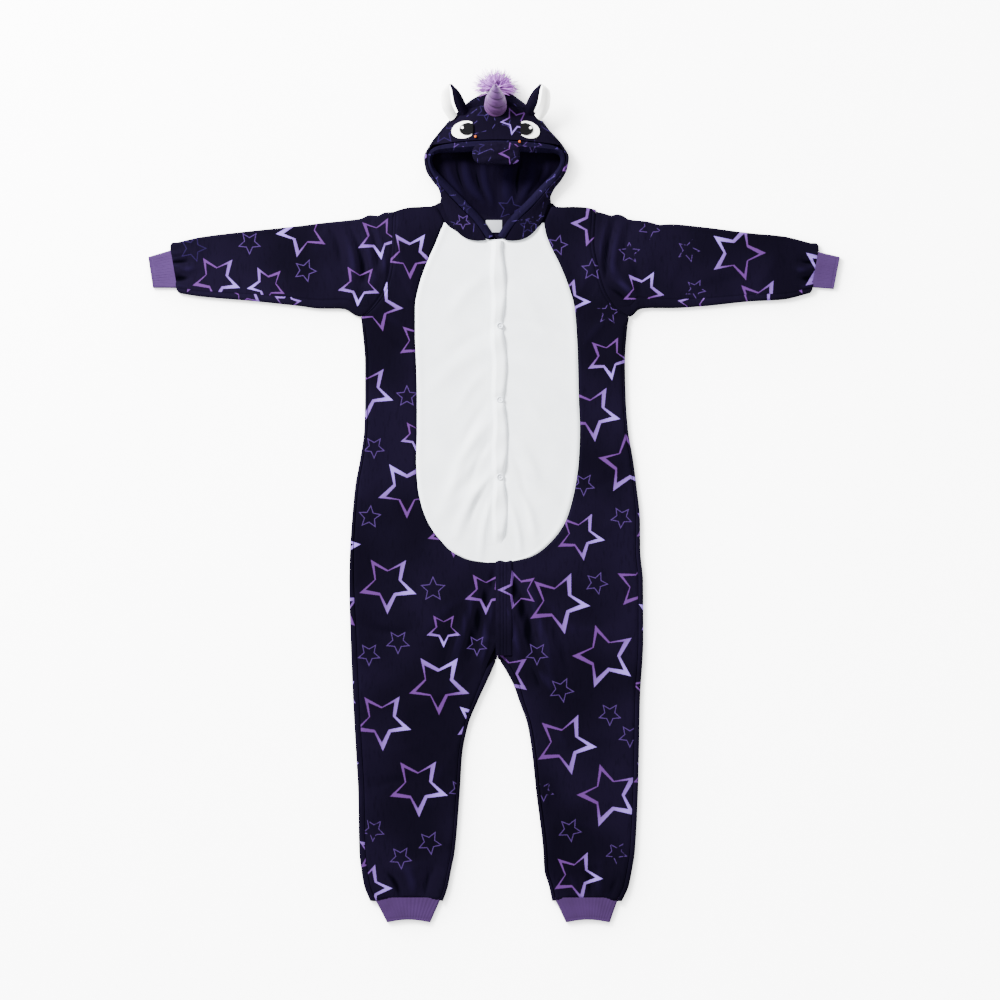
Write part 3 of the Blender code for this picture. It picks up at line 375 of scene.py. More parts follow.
def printed_fleece(name, stars, lit=NAVY_LIT, navy=NAVY, deep=NAVY_DEEP, ridge_highlight=NAVY_PAINTED_HIGHLIGHT, flecks=0.0):
    """Navy coral fleece with a star print. A star is (x, y, radius, turn, kind), kind being large, purple (a
    large one that hardly fades), small, worn (a small one on flattened pile), medium or faint. The fold
    attribute is painted in: a painted highlight on crease ridges and a painted shade, near black, in their
    hollows."""
    material, tree, shader = new_material(name, 0.92, 0.007, 0.35, "#8f86ff", 0.005)
    place = add_node(tree, "TexCoord", {}, "Object")
    # The nap lies one way in one patch, some 200 mm across, and the other way in the next, so the navy shifts
    patches = add_node(tree, "TexNoise", {"Vector": place, "Scale": 5.0})
    tone = dyed(tree, linear(navy), linear(lit), patches, 0.36, 0.64)
    stroked = add_node(tree, "Mapping", {"Vector": place, "Scale": (260, 55, 200)})
    strokes = add_node(tree, "TexNoise", {"Vector": stroked, "Scale": 1.0, "Detail": 3.0})
    tone = dyed(tree, tone, linear(deep), strokes, 0.5, 0.75, 0, 0.35)
    # Painted light from the creases: a painted highlight on a crease's ridge, and painted shade, near black,
    # in its hollow
    fold = add_node(tree, "Attribute", {"attribute_name": "fold"}, "Fac")
    tone = dyed(tree, tone, linear(ridge_highlight), fold, 0.6, 5.0, 0, 0.6)
    colour = dyed(tree, tone, linear(NAVY_PAINTED_SHADE), fold, -3.5, -0.2, 0.9, 0)
    # The print's edge is a little ragged, because the dye sits on the pile
    rag = add_node(tree, "TexNoise", {"Vector": place, "Scale": 700.0, "Detail": 1.0}, "Color")
    rag = add_node(tree, "VectorMath", {"operation": "SUBTRACT", 0: rag, 1: (0.5, 0.5, 0.5)})
    rag = add_node(tree, "VectorMath", {"operation": "SCALE", 0: rag, "Scale": 0.0016})
    ragged = add_node(tree, "VectorMath", {"operation": "ADD", 0: place, 1: rag})
    for x, y, radius, turn, kind in stars:
        spot = add_node(
            tree,
            "Mapping",
            {
                "vector_type": "TEXTURE",
                "Vector": ragged,
                "Location": ((x + CENTRE) * MM, y * MM, 0),
                "Rotation": (0, 0, math.radians(turn)),
                "Scale": (radius * MM, radius * MM, 1),
            },
        )
        outer = inner = add_node(tree, "Group", {"node_tree": star_depth, 0: spot})
        covers = []
        if kind in LINE_WIDTH:
            line = LINE_WIDTH[kind] / radius
            edges = (outer, -0.01, 0.02, 0), (inner, line, line + 0.03, 1)
            covers.append(LINE_COVER)
        else:
            # The hole is a smaller star set towards one side, so the band is thick on the other
            hole = {"vector_type": "TEXTURE", "Vector": spot, "Location": HOLE_PLACE, "Scale": HOLE_SIZE}
            inner = add_node(tree, "Group", {"node_tree": hole_depth, 0: add_node(tree, "Mapping", hole)})
            edges = (outer, -0.008, 0.012, 0), (inner, -0.012, 0.008, 1)
        if kind == "worn":
            worn = add_node(tree, "TexNoise", {"Vector": place, "Scale": 110.0, "Detail": 1.0})
            covers.append(add_node(tree, "MapRange", {**EASED, 0: worn, 1: 0.4, 2: 0.52}))
        mask, within = (
            add_node(tree, "MapRange", {**EASED, 0: depth, 1: low, 2: high, 3: first, 4: 1 - first})
            for depth, low, high, first in edges
        )
        for cover in (within, *covers):
            mask = add_node(tree, "Math", {"operation": "MULTIPLY", 0: mask, 1: cover})
        dye = linear(STAR_FAINT if kind == "faint" else STAR_LINE)
        if kind in FADES:
            fade = add_node(tree, "SeparateXYZ", {0: spot})
            dye = dyed(tree, linear(STAR_PURPLE), linear(STAR_LAVENDER), fade, *FADES[kind])
        colour = add_node(tree, "Mix", {"data_type": "RGBA", 0: mask, 6: colour, 7: dye}, 2)
    if flecks:
        # Thin lines of the print, broken up where the pile is crushed
        veins = add_node(tree, "TexVoronoi", {"feature": "DISTANCE_TO_EDGE", "Vector": ragged, "Scale": 24.0})
        lines = add_node(tree, "MapRange", {**EASED, 0: veins, 1: 0.004, 2: 0.016, 3: flecks, 4: 0})
        breaks = add_node(tree, "TexNoise", {"Vector": place, "Scale": 90.0})
        broken = add_node(tree, "MapRange", {**EASED, 0: breaks, 1: 0.5, 2: 0.62})
        shown = add_node(tree, "Math", {"operation": "MULTIPLY", 0: lines, 1: broken})
        colour = add_node(tree, "Mix", {"data_type": "RGBA", 0: shown, 6: colour, 7: linear(FLECK)}, 2)
    tree.links.new(colour, shader.inputs["Base Color"])
    # Pile: tufts about 1.3 mm across over slow dents
    pile = add_node(tree, "TexNoise", {"Vector": place, "Scale": 750.0})
    dents = add_node(tree, "TexNoise", {"Vector": place, "Scale": 60.0})
    relief = add_node(tree, "Mix", {"data_type": "FLOAT", 0: 0.25, 2: pile, 3: dents})
    bump = add_node(tree, "Bump", {"Strength": 0.35, "Distance": 0.0012, "Height": relief})
    tree.links.new(bump, shader.inputs["Normal"])
    return material


# Rows of x, y, radius, turn and kind
BACK_STARS = {
    "left": (
        (-95, 420, 48, 20, "large"), (-180, 300, 24, 70, "small"), (-60, 260, 45, 95, "large"),
        (-235, 191, 50, -19, "large"), (-115, 150, 42, 150, "large"), (-60, 50, 25, 15, "small"),
        (-140, -10, 48, 60, "large"), (-290, -88, 44, 5, "large"), (-60, -130, 24, 20, "small"),
        (-130, -200, 42, 200, "large"), (-288, -200, 44, 100, "large"), (-190, -300, 50, 110, "large"),
        (-284, -352, 34, 40, "large"), (-110, -420, 22, 50, "small"), (-280, -488, 32, 20, "large"),
        (-170, -520, 48, 25, "large"), (-120, -660, 24, 80, "small"), (-215, -640, 40, 75, "large"),
    ),
    "right": (
        (70, 440, 24, 40, "small"), (140, 360, 50, 75, "large"), (199, 251, 41, -80, "large"),
        (60, 200, 46, 10, "large"), (140, 130, 22, 55, "small"), (236, 60, 56, -48, "large"),
        (120, 0, 48, 130, "large"), (280, -50, 36, 70, "large"), (60, -110, 24, 0, "small"),
        (190, -120, 46, 35, "large"), (289, -212, 40, 150, "large"), (110, -230, 40, 85, "large"),
        (14, -318, 48, -36, "purple"), (116, -326, 44, 150, "large"), (278, -345, 40, 20, "large"),
        (180, -360, 24, 15, "small"), (140, -470, 48, 160, "large"), (272, -500, 30, 60, "large"),
        (200, -590, 44, 40, "large"), (130, -660, 22, 65, "small"),
    ),
}
# Shallow creases pressed into the underside: ends, half width, height, bow
BACK_CREASES = (
    (-40, 300, -150, 180, 16, 0.5, 6), (60, 260, 170, 330, 15, 0.45, -5),
    (-30, -180, -170, -120, 18, 0.5, 8), (40, -200, 190, -170, 18, 0.5, -6),
    (-120, -420, -220, -380, 14, 0.45, 4), (110, -500, 210, -520, 15, 0.5, -5),
)


def hem_sag(side, out, y):
    """How far the cloth sags over the ankle cuff: most at the leg's sides, and a little in pouches."""
    inner, outer = float(along(INSEAM, side, HEM_Y)), float(side_seam(side, HEM_Y))
    share = (2 * out - inner - outer) / (outer - inner)
    sag = 5.5 * np.clip(np.abs(share), 0, 1) ** 2.5 + 1.6 * np.sin(share * 7 + SIGN[side]) * (1 - share**2)
    return np.maximum(sag - 0.5, -0.8) * np.clip((HEM_Y + 40 - y) / 40, 0, 1) ** 1.5


def rolled(reach, tuck, inwards, steps=9):
    """A rolled edge's section from the table to the seam on top: distances out and heights, per row."""
    turn = np.linspace(0, math.pi, steps)
    middle = (reach - inwards * EDGE_RADIUS)[:, None]
    out = middle + inwards * EDGE_RADIUS * np.sin(turn)
    height = np.broadcast_to(EDGE_RADIUS * (1 - np.cos(turn)), out.shape)
    end = middle - inwards * tuck[:, None] * np.array([0.5, 1.0])
    dip = np.broadcast_to([ROLL, ROLL - 1.2], end.shape)
    return np.concatenate([out, end], 1), np.concatenate([height, dip], 1)


BACK_ROWS = np.concatenate([np.arange(HEM_Y, 300, 6.0), np.arange(300, ARM_TOP, 3.0), [ARM_TOP]])
for side in ("left", "right"):
    at_arm, at_side = along(ARMHOLE, side, BACK_ROWS) + 0.1, along(SIDE, side, BACK_ROWS)
    reach = np.where(BACK_ROWS >= ARM_LOW, at_arm, at_side)
    lift = np.clip((ARM_LOW - BACK_ROWS) / (ARM_LOW - SIDE_TOP), 0, 1)[:, None]
    out, height = rolled(reach, along(TUCK, side, BACK_ROWS) - 0.5, 1)
    flat_out = reach[:, None] - np.linspace(6, 0, out.shape[1])[None, :]
    out, height = np.where(lift > 0, out, flat_out), height * lift
    inner = np.where(BACK_ROWS > APEX_Y, -0.1, along(INSEAM, side, np.minimum(BACK_ROWS, APEX_Y)))
    below = np.clip((APEX_Y - BACK_ROWS) / 20, 0, 1)[:, None]
    in_out, in_height = rolled(inner, along(TUCK, "inseam", BACK_ROWS) - 0.5, -1)
    flat_in = inner[:, None] + np.linspace(8, 0, in_out.shape[1])[None, :]
    in_out, in_height = np.where(below > 0, in_out, flat_in)[:, ::-1], (in_height * below)[:, ::-1]
    between = in_out[:, -1:] + (out[:, :1] - in_out[:, -1:]) * np.linspace(0, 1, 26)[1:-1]
    outs = np.concatenate([in_out, between, out], 1)
    heights = np.concatenate([in_height, np.zeros_like(between), height], 1)
    xs = CENTRE + SIGN[side] * outs
    ys = np.broadcast_to(BACK_ROWS[:, None], xs.shape).copy()
    calm = np.clip((ROLL - heights) / ROLL, 0, 1) ** 2
    heights = heights + calm * np.clip(creases(xs, ys, BACK_CREASES), 0, 1)
    neck = np.clip((ys - ARM_TOP + NECK_EASE) / NECK_EASE, 0, 1)
    ys = ys + neck * (along(SHOULDER, side, np.abs(outs)) - ARM_TOP)
    ys = ys - hem_sag(side, outs, ys)
    fleece = printed_fleece(f"star_fleece_back_{side}", BACK_STARS[side])
    piece = shell(f"back_panel_{side}", np.stack([xs, ys, heights], -1), FLEECE, fleece, towards=(0, 0, -1))
    cut = {"flat": (0.30, 1.27), "area": 0.29, "held": "laid", "rests_on": []}
    take_place(piece, f"back_{side}", "printed_fleece", **cut)


# ---------------------------------------------------------------------------
# The fronts: two outer panels of the same fleece from shoulder to hem, each
# with one leg. They lie on the back, and their edges dip into the seams.

FLAT_TOP = 6.0  # height of the front where it lies on the back
FRONT_JOIN = 4.0
INSET = (
    ("y", "left", "right"),
    (514, 110, 96), (495, 97, 84), (478, 103.5, 86.5), (458, 111.5, 93.5), (417, 129.5, 113.5),
    (379, 142, 128.5), (343, 148.5, 138.5), (290, 148.5, 143), (240, 146.5, 145), (176, 145, 146.5),
    (122, 145, 148.5), (68, 146.5, 146.5), (22, 144, 140.5), (-14, 137, 132.5), (-41, 127, 123.5),
    (-62, 115, 111.5), (-80, 100, 96.5), (-95, 85.5, 80), (-106, 67.5, 62), (-113, 50, 38), (-117, 22, 14),
)
INSET_FOOT = -117
EDGE_STEPS = (0.2, 1.2, 2.2, 3.4, 4.8, 6.2, 7.6, 9.4, 12, 16)
SEAM_DIP, SEAM_WIDTH = 2.0, 2.6  # how far both cloths dip into a seam, and how wide
FRONT_LOWEST = 4.0
NECK_HIGHEST, NECK_SET = 523, 514.4  # its highest row on the shoulder line, and where it is drawn up from
STITCHES_IN, STITCH_DIP = 6, 1.6  # a second row of stitches inside the armhole
# Ends, half width, height and bow of the main creases: the drag under each arm, the fan from the
# crotch, and soft breaks along the legs
FRONT_CREASES = (
    (-205, 470, -150, 360, 12, 1.6, 6), (-196, 430, -140, 300, 10, -1.2, 5),
    (-222, 335, -165, 300, 11, 1.5, 4), (-215, 300, -160, 250, 10, -1.0, 4),
    (200, 465, 140, 350, 13, 1.7, -7), (190, 410, 132, 300, 9, -1.3, -5), (206, 330, 150, 270, 11, 1.6, -4),
    (-232, 170, -165, 140, 12, 1.0, 5), (-240, 30, -160, -10, 14, 1.1, -6), (232, 60, 165, 20, 13, -1.1, 6),
    (236, -20, 150, -70, 12, 1.2, 5), (-9, -136, -60, -326, 6.5, -5.0, -5),
    (-30, -150, -84, -320, 10, 3.2, -5), (-10, -190, -28, -300, 7, 4.0, -3),
    (-62, -200, -108, -330, 8, -2.0, -6), (-50, -170, -150, -262, 12, 1.8, -8),
    (-36, -262, -84, -352, 6, 3.0, 3), (22, -136, 72, -336, 6.5, -5.0, 7), (44, -140, 96, -320, 9, 3.4, 7),
    (16, -190, 36, -306, 7, 4.0, 3), (74, -190, 124, -330, 8, -2.0, 7), (66, -170, 150, -262, 12, 1.8, 6),
    (52, -262, 96, -346, 6, 3.0, -3), (-75, -330, -150, -372, 12, 1.2, 4),
    (80, -322, 160, -362, 12, 1.3, -4), (-110, -430, -215, -455, 14, 1.0, 6),
    (105, -470, 214, -440, 14, -1.0, 6), (-92, -560, -190, -545, 13, 1.1, -5),
    (110, -585, 205, -600, 14, 1.2, 5), (-110, -650, -205, -668, 10, 1.3, 4),
    (120, -668, 196, -650, 9, 1.2, -4), (-198, -674, -176, -716, 5, -3.5, 3),
    (-166, -664, -152, -716, 11, 2.8, 4), (-116, -664, -132, -716, 5, -2.6, -4),
    (-214, -680, -202, -714, 6, 1.8, -2), (126, -676, 142, -716, 7, 2.0, 3),
    (160, -670, 166, -716, 5, -3.0, 2), (186, -664, 182, -716, 10, 2.4, -3),
    (214, -684, 202, -714, 5, -2.2, -2), (92, -400, 128, -470, 9, 1.8, 5),
    (-88, -470, -120, -540, 10, 1.6, -6), (-226, -520, -150, -505, 9, -1.4, 5),
    (-150, -238, -236, -228, 10, -1.5, 6), (214, -250, 140, -236, 10, 1.6, -5),
)


def inner_seam(side, y):
    """Distance out to the front's inner edge below the inset: the join, and then the inside leg."""
    y = np.asarray(y, float)
    join = SIGN[side] * FRONT_JOIN
    leg_row = np.minimum(y, APEX_Y)
    leg = along(INSEAM, side, leg_row) + EDGE_RADIUS + along(TUCK, "inseam", leg_row)
    share = np.clip((CROTCH_Y - y) / (CROTCH_Y - APEX_Y), 0, 1)
    return np.where(y > APEX_Y, join + share * (13.5 - join), leg)


def front_form(side, out, y):
    """Height of the front before its creases: on the back in the middle, up to the rolled edges."""
    rise = np.exp(-(((side_seam(side, y) - out) / 30) ** 2))
    leg = np.exp(-(((out - inner_seam(side, y)) / 25) ** 2))
    rise = np.where(y <= CROTCH_Y, np.maximum(rise, leg), rise)
    return FLAT_TOP + (ROLL - FLAT_TOP) * rise


def spread(inner, outer, middle):
    """Distances from inner to outer: close together by both edges, even in the middle."""
    edge = np.asarray(EDGE_STEPS, float) * np.minimum(1, (outer - inner)[..., None] / (2.6 * max(EDGE_STEPS)))
    start, end = inner[..., None] + edge, outer[..., None] - edge[..., ::-1]
    share = np.linspace(0, 1, middle + 2)[1:-1]
    between = start[..., -1:] + (end[..., :1] - start[..., -1:]) * share
    return np.concatenate([start, between, end], axis=-1)


FRONT_STARS = {
    "left": (
        (-216.5, 344.5, 47, 67, "large"), (-157, 437, 45, 54, "large"), (-140, 280, 41, -6, "large"),
        (-235, 191, 50, -19, "large"), (-163, 182, 21, 90, "small"), (-222, 90, 21, 54, "small"),
        (-145, 110, 31, -90, "large"), (-163, 16, 54, 126, "large"), (-230, -35, 22, 12, "small"),
        (-79, -59, 49, 54, "large"), (-197, -156, 54, -19, "large"), (-116, -165, 24, 90, "small"),
        (-21, -171, 40, -90, "purple"), (-97, -238, 32, -90, "large"), (-105, -335, 57, 54, "large"),
        (-179, -260, 23, 54, "small"), (-231, -282, 22, 54, "small"), (-37, -266, 20, 54, "small"),
        (-207, -402, 54, -17, "large"), (-142, -520, 55, -17, "large"), (-35, -404, 43, 140, "large"),
        (-69, -526, 20, 54, "small"), (-223, -598, 22, 50, "worn"), (-174, -648, 22, -15, "small"),
        (-122, -621, 23, -10, "small"), (-234, -703, 45, 0, "large"), (-290, -88, 44, 5, "large"),
    ),
    "right": (
        (174, 492, 43, 178, "purple"), (170, 410, 21, 90, "small"), (14, -318, 48, -36, "purple"),
        (108, 454, 20, 75, "small"), (125, 352, 43, 0, "large"), (199, 332, 22, 85, "worn"),
        (199, 251, 41, -80, "large"), (170, 152, 52, -12, "large"), (236, 60, 56, -48, "large"),
        (155, 23.5, 22, 54, "small"), (149, -69, 45, -10, "large"), (223, -36, 21, 49, "small"),
        (37, -166, 37, 180, "purple"), (109, -189, 58, -6, "large"), (178, -154, 22, -5, "small"),
        (260, -158, 49, 10, "large"), (193, -286, 59, -37, "large"), (71, -281, 22, 54, "small"),
        (115, -346, 24, -8, "small"), (122, -443, 57, -6, "large"), (202, -390, 22, 54, "small"),
        (238, -429, 22, 54, "small"), (201, -536, 59, -37, "large"), (83, -528, 20, 54, "worn"),
        (130, -598, 23, -10, "small"), (214, -639, 21, 54, "worn"), (143, -681, 47, -6, "large"),
    ),
}


def panel(side, rows, inner, outer, middle, table, seed, dips, joined=False):
    """A front panel's grid between two edges, on the front's form, with its creases and ripples.
    dips holds how far each row dips at its inner and its outer edge. A joined panel's creases run on
    over its inner edge."""
    outs = spread(inner, outer, middle)
    ys = np.broadcast_to(rows[:, None], outs.shape)
    xs = CENTRE + SIGN[side] * outs
    height = front_form(side, outs, ys)
    for dip, distance in zip(dips, (outs - inner[:, None], outer[:, None] - outs)):
        height = height - dip[:, None] * np.exp(-((distance / SEAM_WIDTH) ** 2))
    clear = np.minimum(1, (outer[:, None] - outs) / 12)
    if not joined:
        clear = np.minimum(clear, (outs - inner[:, None]) / 12)
    folds = clear * creases(xs, ys, table)
    height = height + folds + clear * waves(xs, ys, seed, 120, 1.0)
    return xs, ys.copy(), np.maximum(height, FRONT_LOWEST), folds


# Rows close together at the hem and by the inset's foot
FRONT_ROWS = (
    np.arange(HEM_Y, INSET_FOOT - 1.5, 5.0),
    np.arange(HEM_Y, HEM_Y + 12, 2.0),
    [INSET_FOOT - 1.5],
    INSET_FOOT + 58 * np.linspace(0, 1, 26) ** 1.7,
    np.arange(INSET_FOOT + 63, 511, 5.0),
    [ARM_TOP],
)
body = np.unique(np.concatenate(FRONT_ROWS))
for side in ("left", "right"):
    inner = np.where(body >= INSET_FOOT, along(INSET, side, body), inner_seam(side, body)) + SEAM_GAP / 2
    outer = side_seam(side, body) - SEAM_GAP / 2
    dips = np.where(body >= INSET_FOOT, SEAM_DIP, 0.9), np.where(body >= ARM_LOW, SEAM_DIP, 0.9)
    xs, ys, height, folds = panel(side, body, inner, outer, 18, FRONT_CREASES, 11 + len(side), dips)
    outs = SIGN[side] * (xs - CENTRE)
    inside = along(ARMHOLE, side, np.maximum(ys, ARM_LOW)) - outs
    height -= np.where(ys > ARM_LOW, STITCH_DIP * np.exp(-(((inside - STITCHES_IN) / 1.5) ** 2)), 0)
    height -= 2.0 * np.clip((HEM_Y + 6 - ys) / 6, 0, 1) ** 2
    neck = np.clip((ys - 495) / 19, 0, 1)
    ys = ys + neck * (np.minimum(along(SHOULDER, side, outs), NECK_HIGHEST) - NECK_SET)
    ys = ys - hem_sag(side, outs, ys)
    fleece = printed_fleece(f"star_fleece_front_{side}", FRONT_STARS[side])
    grid = np.stack([xs, ys, height], -1)
    # The creases' heights go to the fleece as its fold attribute, from which it paints highlight and shade
    piece = shell(f"front_panel_{side}", grid, FLEECE, fleece, towards=(0, 0, 1), folds=folds)
    cut = {"flat": (0.27, 1.25), "area": 0.18, "held": "laid", "rests_on": [f"back_panel_{side}"]}
    take_place(piece, f"front_{side}", "printed_fleece", **cut)


# ---------------------------------------------------------------------------
# The chest and belly: two halves of short white plush, set into the fronts
# with a turned seam. The flap's snaps pull it into soft drag folds.

PLACKET_SEAM = 15.5  # left of the centre line
NECKLINE = (
    ("y", "left", "right"),
    (495, 95, 82), (487, 87, 74), (478, 73, 62), (468.5, 56, 46), (466.5, 34, 30), (465, 16, 15),
)
BELLY_CREASES = (
    (-10, 140, -84, 12, 11, 3.8, -12), (-20, 170, -66, 80, 8, -2, -4), (-8, 44, -72, -66, 10, 5, -9),
    (-14, 84, -98, -16, 12, 2.8, -9), (-20, 20, -112, -44, 13, 2, -9), (-10, 0, -30, -104, 7, 3.8, -4),
    (-14, 30, -48, -40, 5, -2.5, -4), (-12, 104, -48, 30, 6, -2.2, -4), (-16, 270, -122, 192, 14, 1.9, -8),
    (-20, 300, -90, 250, 10, -1.2, -5), (-14, 404, -84, 330, 12, 1.9, -6), (-18, 230, -70, 160, 9, 1.6, -5),
    (24, 112, 72, 26, 10, 3.8, 7), (24, 26, 68, -72, 9, 5.2, 8), (22, -8, 42, -100, 6, 3.8, 4),
    (26, 64, 114, -16, 12, 2.5, 9), (24, 84, 50, 10, 6, -2.2, 4), (28, 20, 56, -50, 5, -2.2, 4),
    (24, 252, 120, 170, 14, 2, 9), (22, 210, 80, 140, 9, 1.8, 5), (20, 392, 84, 300, 12, 1.9, 6),
    (24, 322, 98, 300, 10, -1.2, 4),
)


def raise_grain(tree, shader, grains, strength, distance, detail=2.0):
    """A fine uneven surface: so many grains to a metre, which stand up to a distance in metres."""
    place = add_node(tree, "TexCoord", {}, "Object")
    pattern = add_node(tree, "TexNoise", {"Vector": place, "Scale": grains, "Detail": detail})
    bump = add_node(tree, "Bump", {"Strength": strength, "Distance": distance, "Height": pattern})
    tree.links.new(bump, shader.inputs["Normal"])


def two_tone(tree, shader, first, second, share):
    """A colour between two, by a share read from a pattern or an attribute."""
    tone = add_node(tree, "Mix", {"data_type": "RGBA", 0: share, 6: linear(first), 7: linear(second)}, 2)
    tree.links.new(tone, shader.inputs["Base Color"])


# Short-pile polyester plush: matt off-white with fine tufts, faintly cool in patches that fall at random
plush, tree, shader = new_material("white_plush", 0.95, 0.1, 0.5, "#ffffff", 0.1)
place = add_node(tree, "TexCoord", {}, "Object")
lie = add_node(tree, "TexNoise", {"Vector": place, "Scale": 22.0})
two_tone(tree, shader, "#dfe4e9", "#f4f8fc", lie)
raise_grain(tree, shader, 900.0, 0.22, 0.0008)

BELLY_ROWS = (
    INSET_FOOT + 0.5 + 57.5 * np.linspace(0, 1, 30) ** 1.6,
    np.arange(INSET_FOOT + 62, 460, 4.0),
    np.arange(460, 494.1, 1.7),
)
body = np.unique(np.concatenate(BELLY_ROWS))
for side, stop in (("left", PLACKET_SEAM - 0.3), ("right", -PLACKET_SEAM)):
    inner = np.where(body > 465, np.maximum(stop, along(NECKLINE, side, np.maximum(body, 465))), stop)
    outer = along(INSET, side, body) - SEAM_GAP / 2
    dips = np.zeros(len(body)), np.full(len(body), SEAM_DIP)
    xs, ys, height, _ = panel(side, body, inner, outer, 40, BELLY_CREASES, 31, dips, joined=True)
    height += 0.7 * np.exp(-(((outer[:, None] - SIGN[side] * (xs - CENTRE) - 7) / 5) ** 2))
    piece = shell(f"belly_inset_{side}", np.stack([xs, ys, height], -1), 1.9, plush, towards=(0, 0, 1))
    cut = {"flat": (0.165, 0.62), "area": 0.08, "held": "laid", "rests_on": [f"back_panel_{side}"]}
    take_place(piece, f"belly_{side}", "white_plush", **cut)


# ---------------------------------------------------------------------------
# The placket flap: a doubled band of the plush down the inset, sewn on its
# left side. Its free edge stands in soft waves between three moulded snaps.

PLACKET_TOP, PLACKET_BOTTOM = 461.0, -84.0
SNAP_HEIGHTS = (309.0, 176.0, 37.0)
PINCHES = (448.0, 309.0, 176.0, 37.0, -78.0)
FLAP_PINCHED, FLAP_FREE = 12.0, 18.5
FLAP_LEFT = -19.0
FLAP_HEIGHT = 7.0
FLAP_END = 24  # over this length the lower end is rounded off
# A snap's turned cap: rim, dish and a small raised centre, as radius and height from the axis outwards
SNAP_PROFILE = (
    (1.1, 0.1), (1.6, -0.2), (2.1, -1.3), (3.7, -1.3), (4.3, 0.5), (4.9, 1.0), (5.6, 0.8), (6.1, 0.0),
    (6.1, -2.2),
)


def flap_drift(y):
    """The flap leans a little to the left towards the neck."""
    return np.interp(y, (170, 310), (0, -3))


def flap_edge(y):
    """The free edge, right of the centre line, out between its fastenings and in at each."""
    near = np.min(np.abs(np.asarray(y)[..., None] - np.array(PINCHES)), axis=-1)
    edge = FLAP_PINCHED + np.sin(np.minimum(1, near / 66) * math.pi / 2) ** 1.4 * (FLAP_FREE - FLAP_PINCHED)
    return edge + flap_drift(y)


def belly_top(out, y):
    """Height of the inset near the centre line, at a signed distance from it."""
    form = np.where(out < 0, front_form("left", np.abs(out), y), front_form("right", np.abs(out), y))
    return form + creases(CENTRE + out, y, BELLY_CREASES)


foot = PLACKET_BOTTOM + np.array([0.4, 1, 1.8])
ys = np.unique(np.concatenate([np.arange(PLACKET_BOTTOM, PLACKET_TOP, 2.5), foot, [PLACKET_TOP]]))
share = np.linspace(0, 1, 40)
near_snap = np.exp(-((np.min(np.abs(ys[:, None] - np.array(SNAP_HEIGHTS)), axis=1) / 12) ** 2))
# The lower end is rounded off and sinks into the inset, and at each snap the flap is pressed flat
end = np.clip((ys - PLACKET_BOTTOM) / FLAP_END, 0, 1)
end = end * end * (3 - 2 * end)
right = flap_edge(ys) - 6 * (1 - np.sqrt(1 - (1 - end) ** 2))
rings = []
for i, y in enumerate(ys):
    x = FLAP_LEFT + (right[i] - FLAP_LEFT) * share
    ground = belly_top(x, np.full_like(x, y))
    ground = np.maximum(ground, np.convolve(np.pad(ground, 6, "edge"), np.ones(13) / 13, "valid")) + 0.25
    # Sewn flat on its left side, it swells towards the free edge, which turns under
    swell = np.clip((x - (-10 + flap_drift(y) + 1.5 * math.sin(y / 17))) / 9, 0, 1)
    swell = swell * swell * (3 - 2 * swell)
    wave = 1 + 0.25 * math.sin(y / 21) + 0.15 * math.sin(y / 9 + 1)
    full = (0.3 + (FLAP_HEIGHT * (1 - 0.6 * near_snap[i]) * wave - 0.3) * swell) * end[i]
    thick = full * np.sqrt(np.clip(1 - np.clip((x - right[i] + 9) / 9, 0, 1) ** 2.4, 0, 1)) + 0.15
    top = np.stack([x, np.full_like(x, y), ground + thick], -1)
    under = np.stack([x, np.full_like(x, y), ground - 0.05], -1)[::-1]
    rings.append(np.concatenate([top, under]) + (CENTRE, 0, 0))
placket = shell("placket_flap", rings, 0.12, plush, closed=True)
cut = {"flat": (0.068, 0.545), "held": "folded", "rests_on": ["belly_inset_left", "belly_inset_right"]}
take_place(placket, "placket", "white_plush", **cut)

# Acetal, moulded: hard and smooth, with a small clear highlight
snap_plastic, tree, shader = new_material("moulded_acetal_snap", 0.35, colour="#cfd3da")
grain = add_node(tree, "TexNoise", {"Scale": 1500.0})
bump = add_node(tree, "Bump", {"Strength": 0.05, "Distance": 0.0002, "Height": grain})
tree.links.new(bump, shader.inputs["Normal"])
for index, y in enumerate(SNAP_HEIGHTS, 1):
    low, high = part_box(f"snap_{index}")
    middle = (low + high) / 2
    mid_x, mid_y = middle.x / MM, middle.y / MM
    seat = float(belly_top(np.array([4.0]), np.array([y]))[0]) + 0.45 * FLAP_HEIGHT + 2.0
    turn = np.linspace(0, 2 * math.pi, 41)[:-1]
    rings = [
        np.stack([mid_x + r * np.cos(turn), mid_y + r * np.sin(turn), np.full(40, seat + z)], -1)
        for r, z in SNAP_PROFILE
    ]
    snap = shell(f"snap_cap_{index}", rings, 0.5, snap_plastic, closed=True, towards=(0, 0, 1), cap=True)
    take_place(snap, f"snap_{index}", "snap_plastic")


# ---------------------------------------------------------------------------
# The band under the inset: the lower end of the placket in printed fleece,
# topstitched down its length and caught into the crotch seam.

BAND_LEFT, BAND_RIGHT, BAND_TOP, BAND_BOTTOM = -3.4, 26.8, -113.0, -284.0
BAND_STITCHES = (3.0, 9.0, 15.0, 21.0)  # rows of stitches, from its left edge

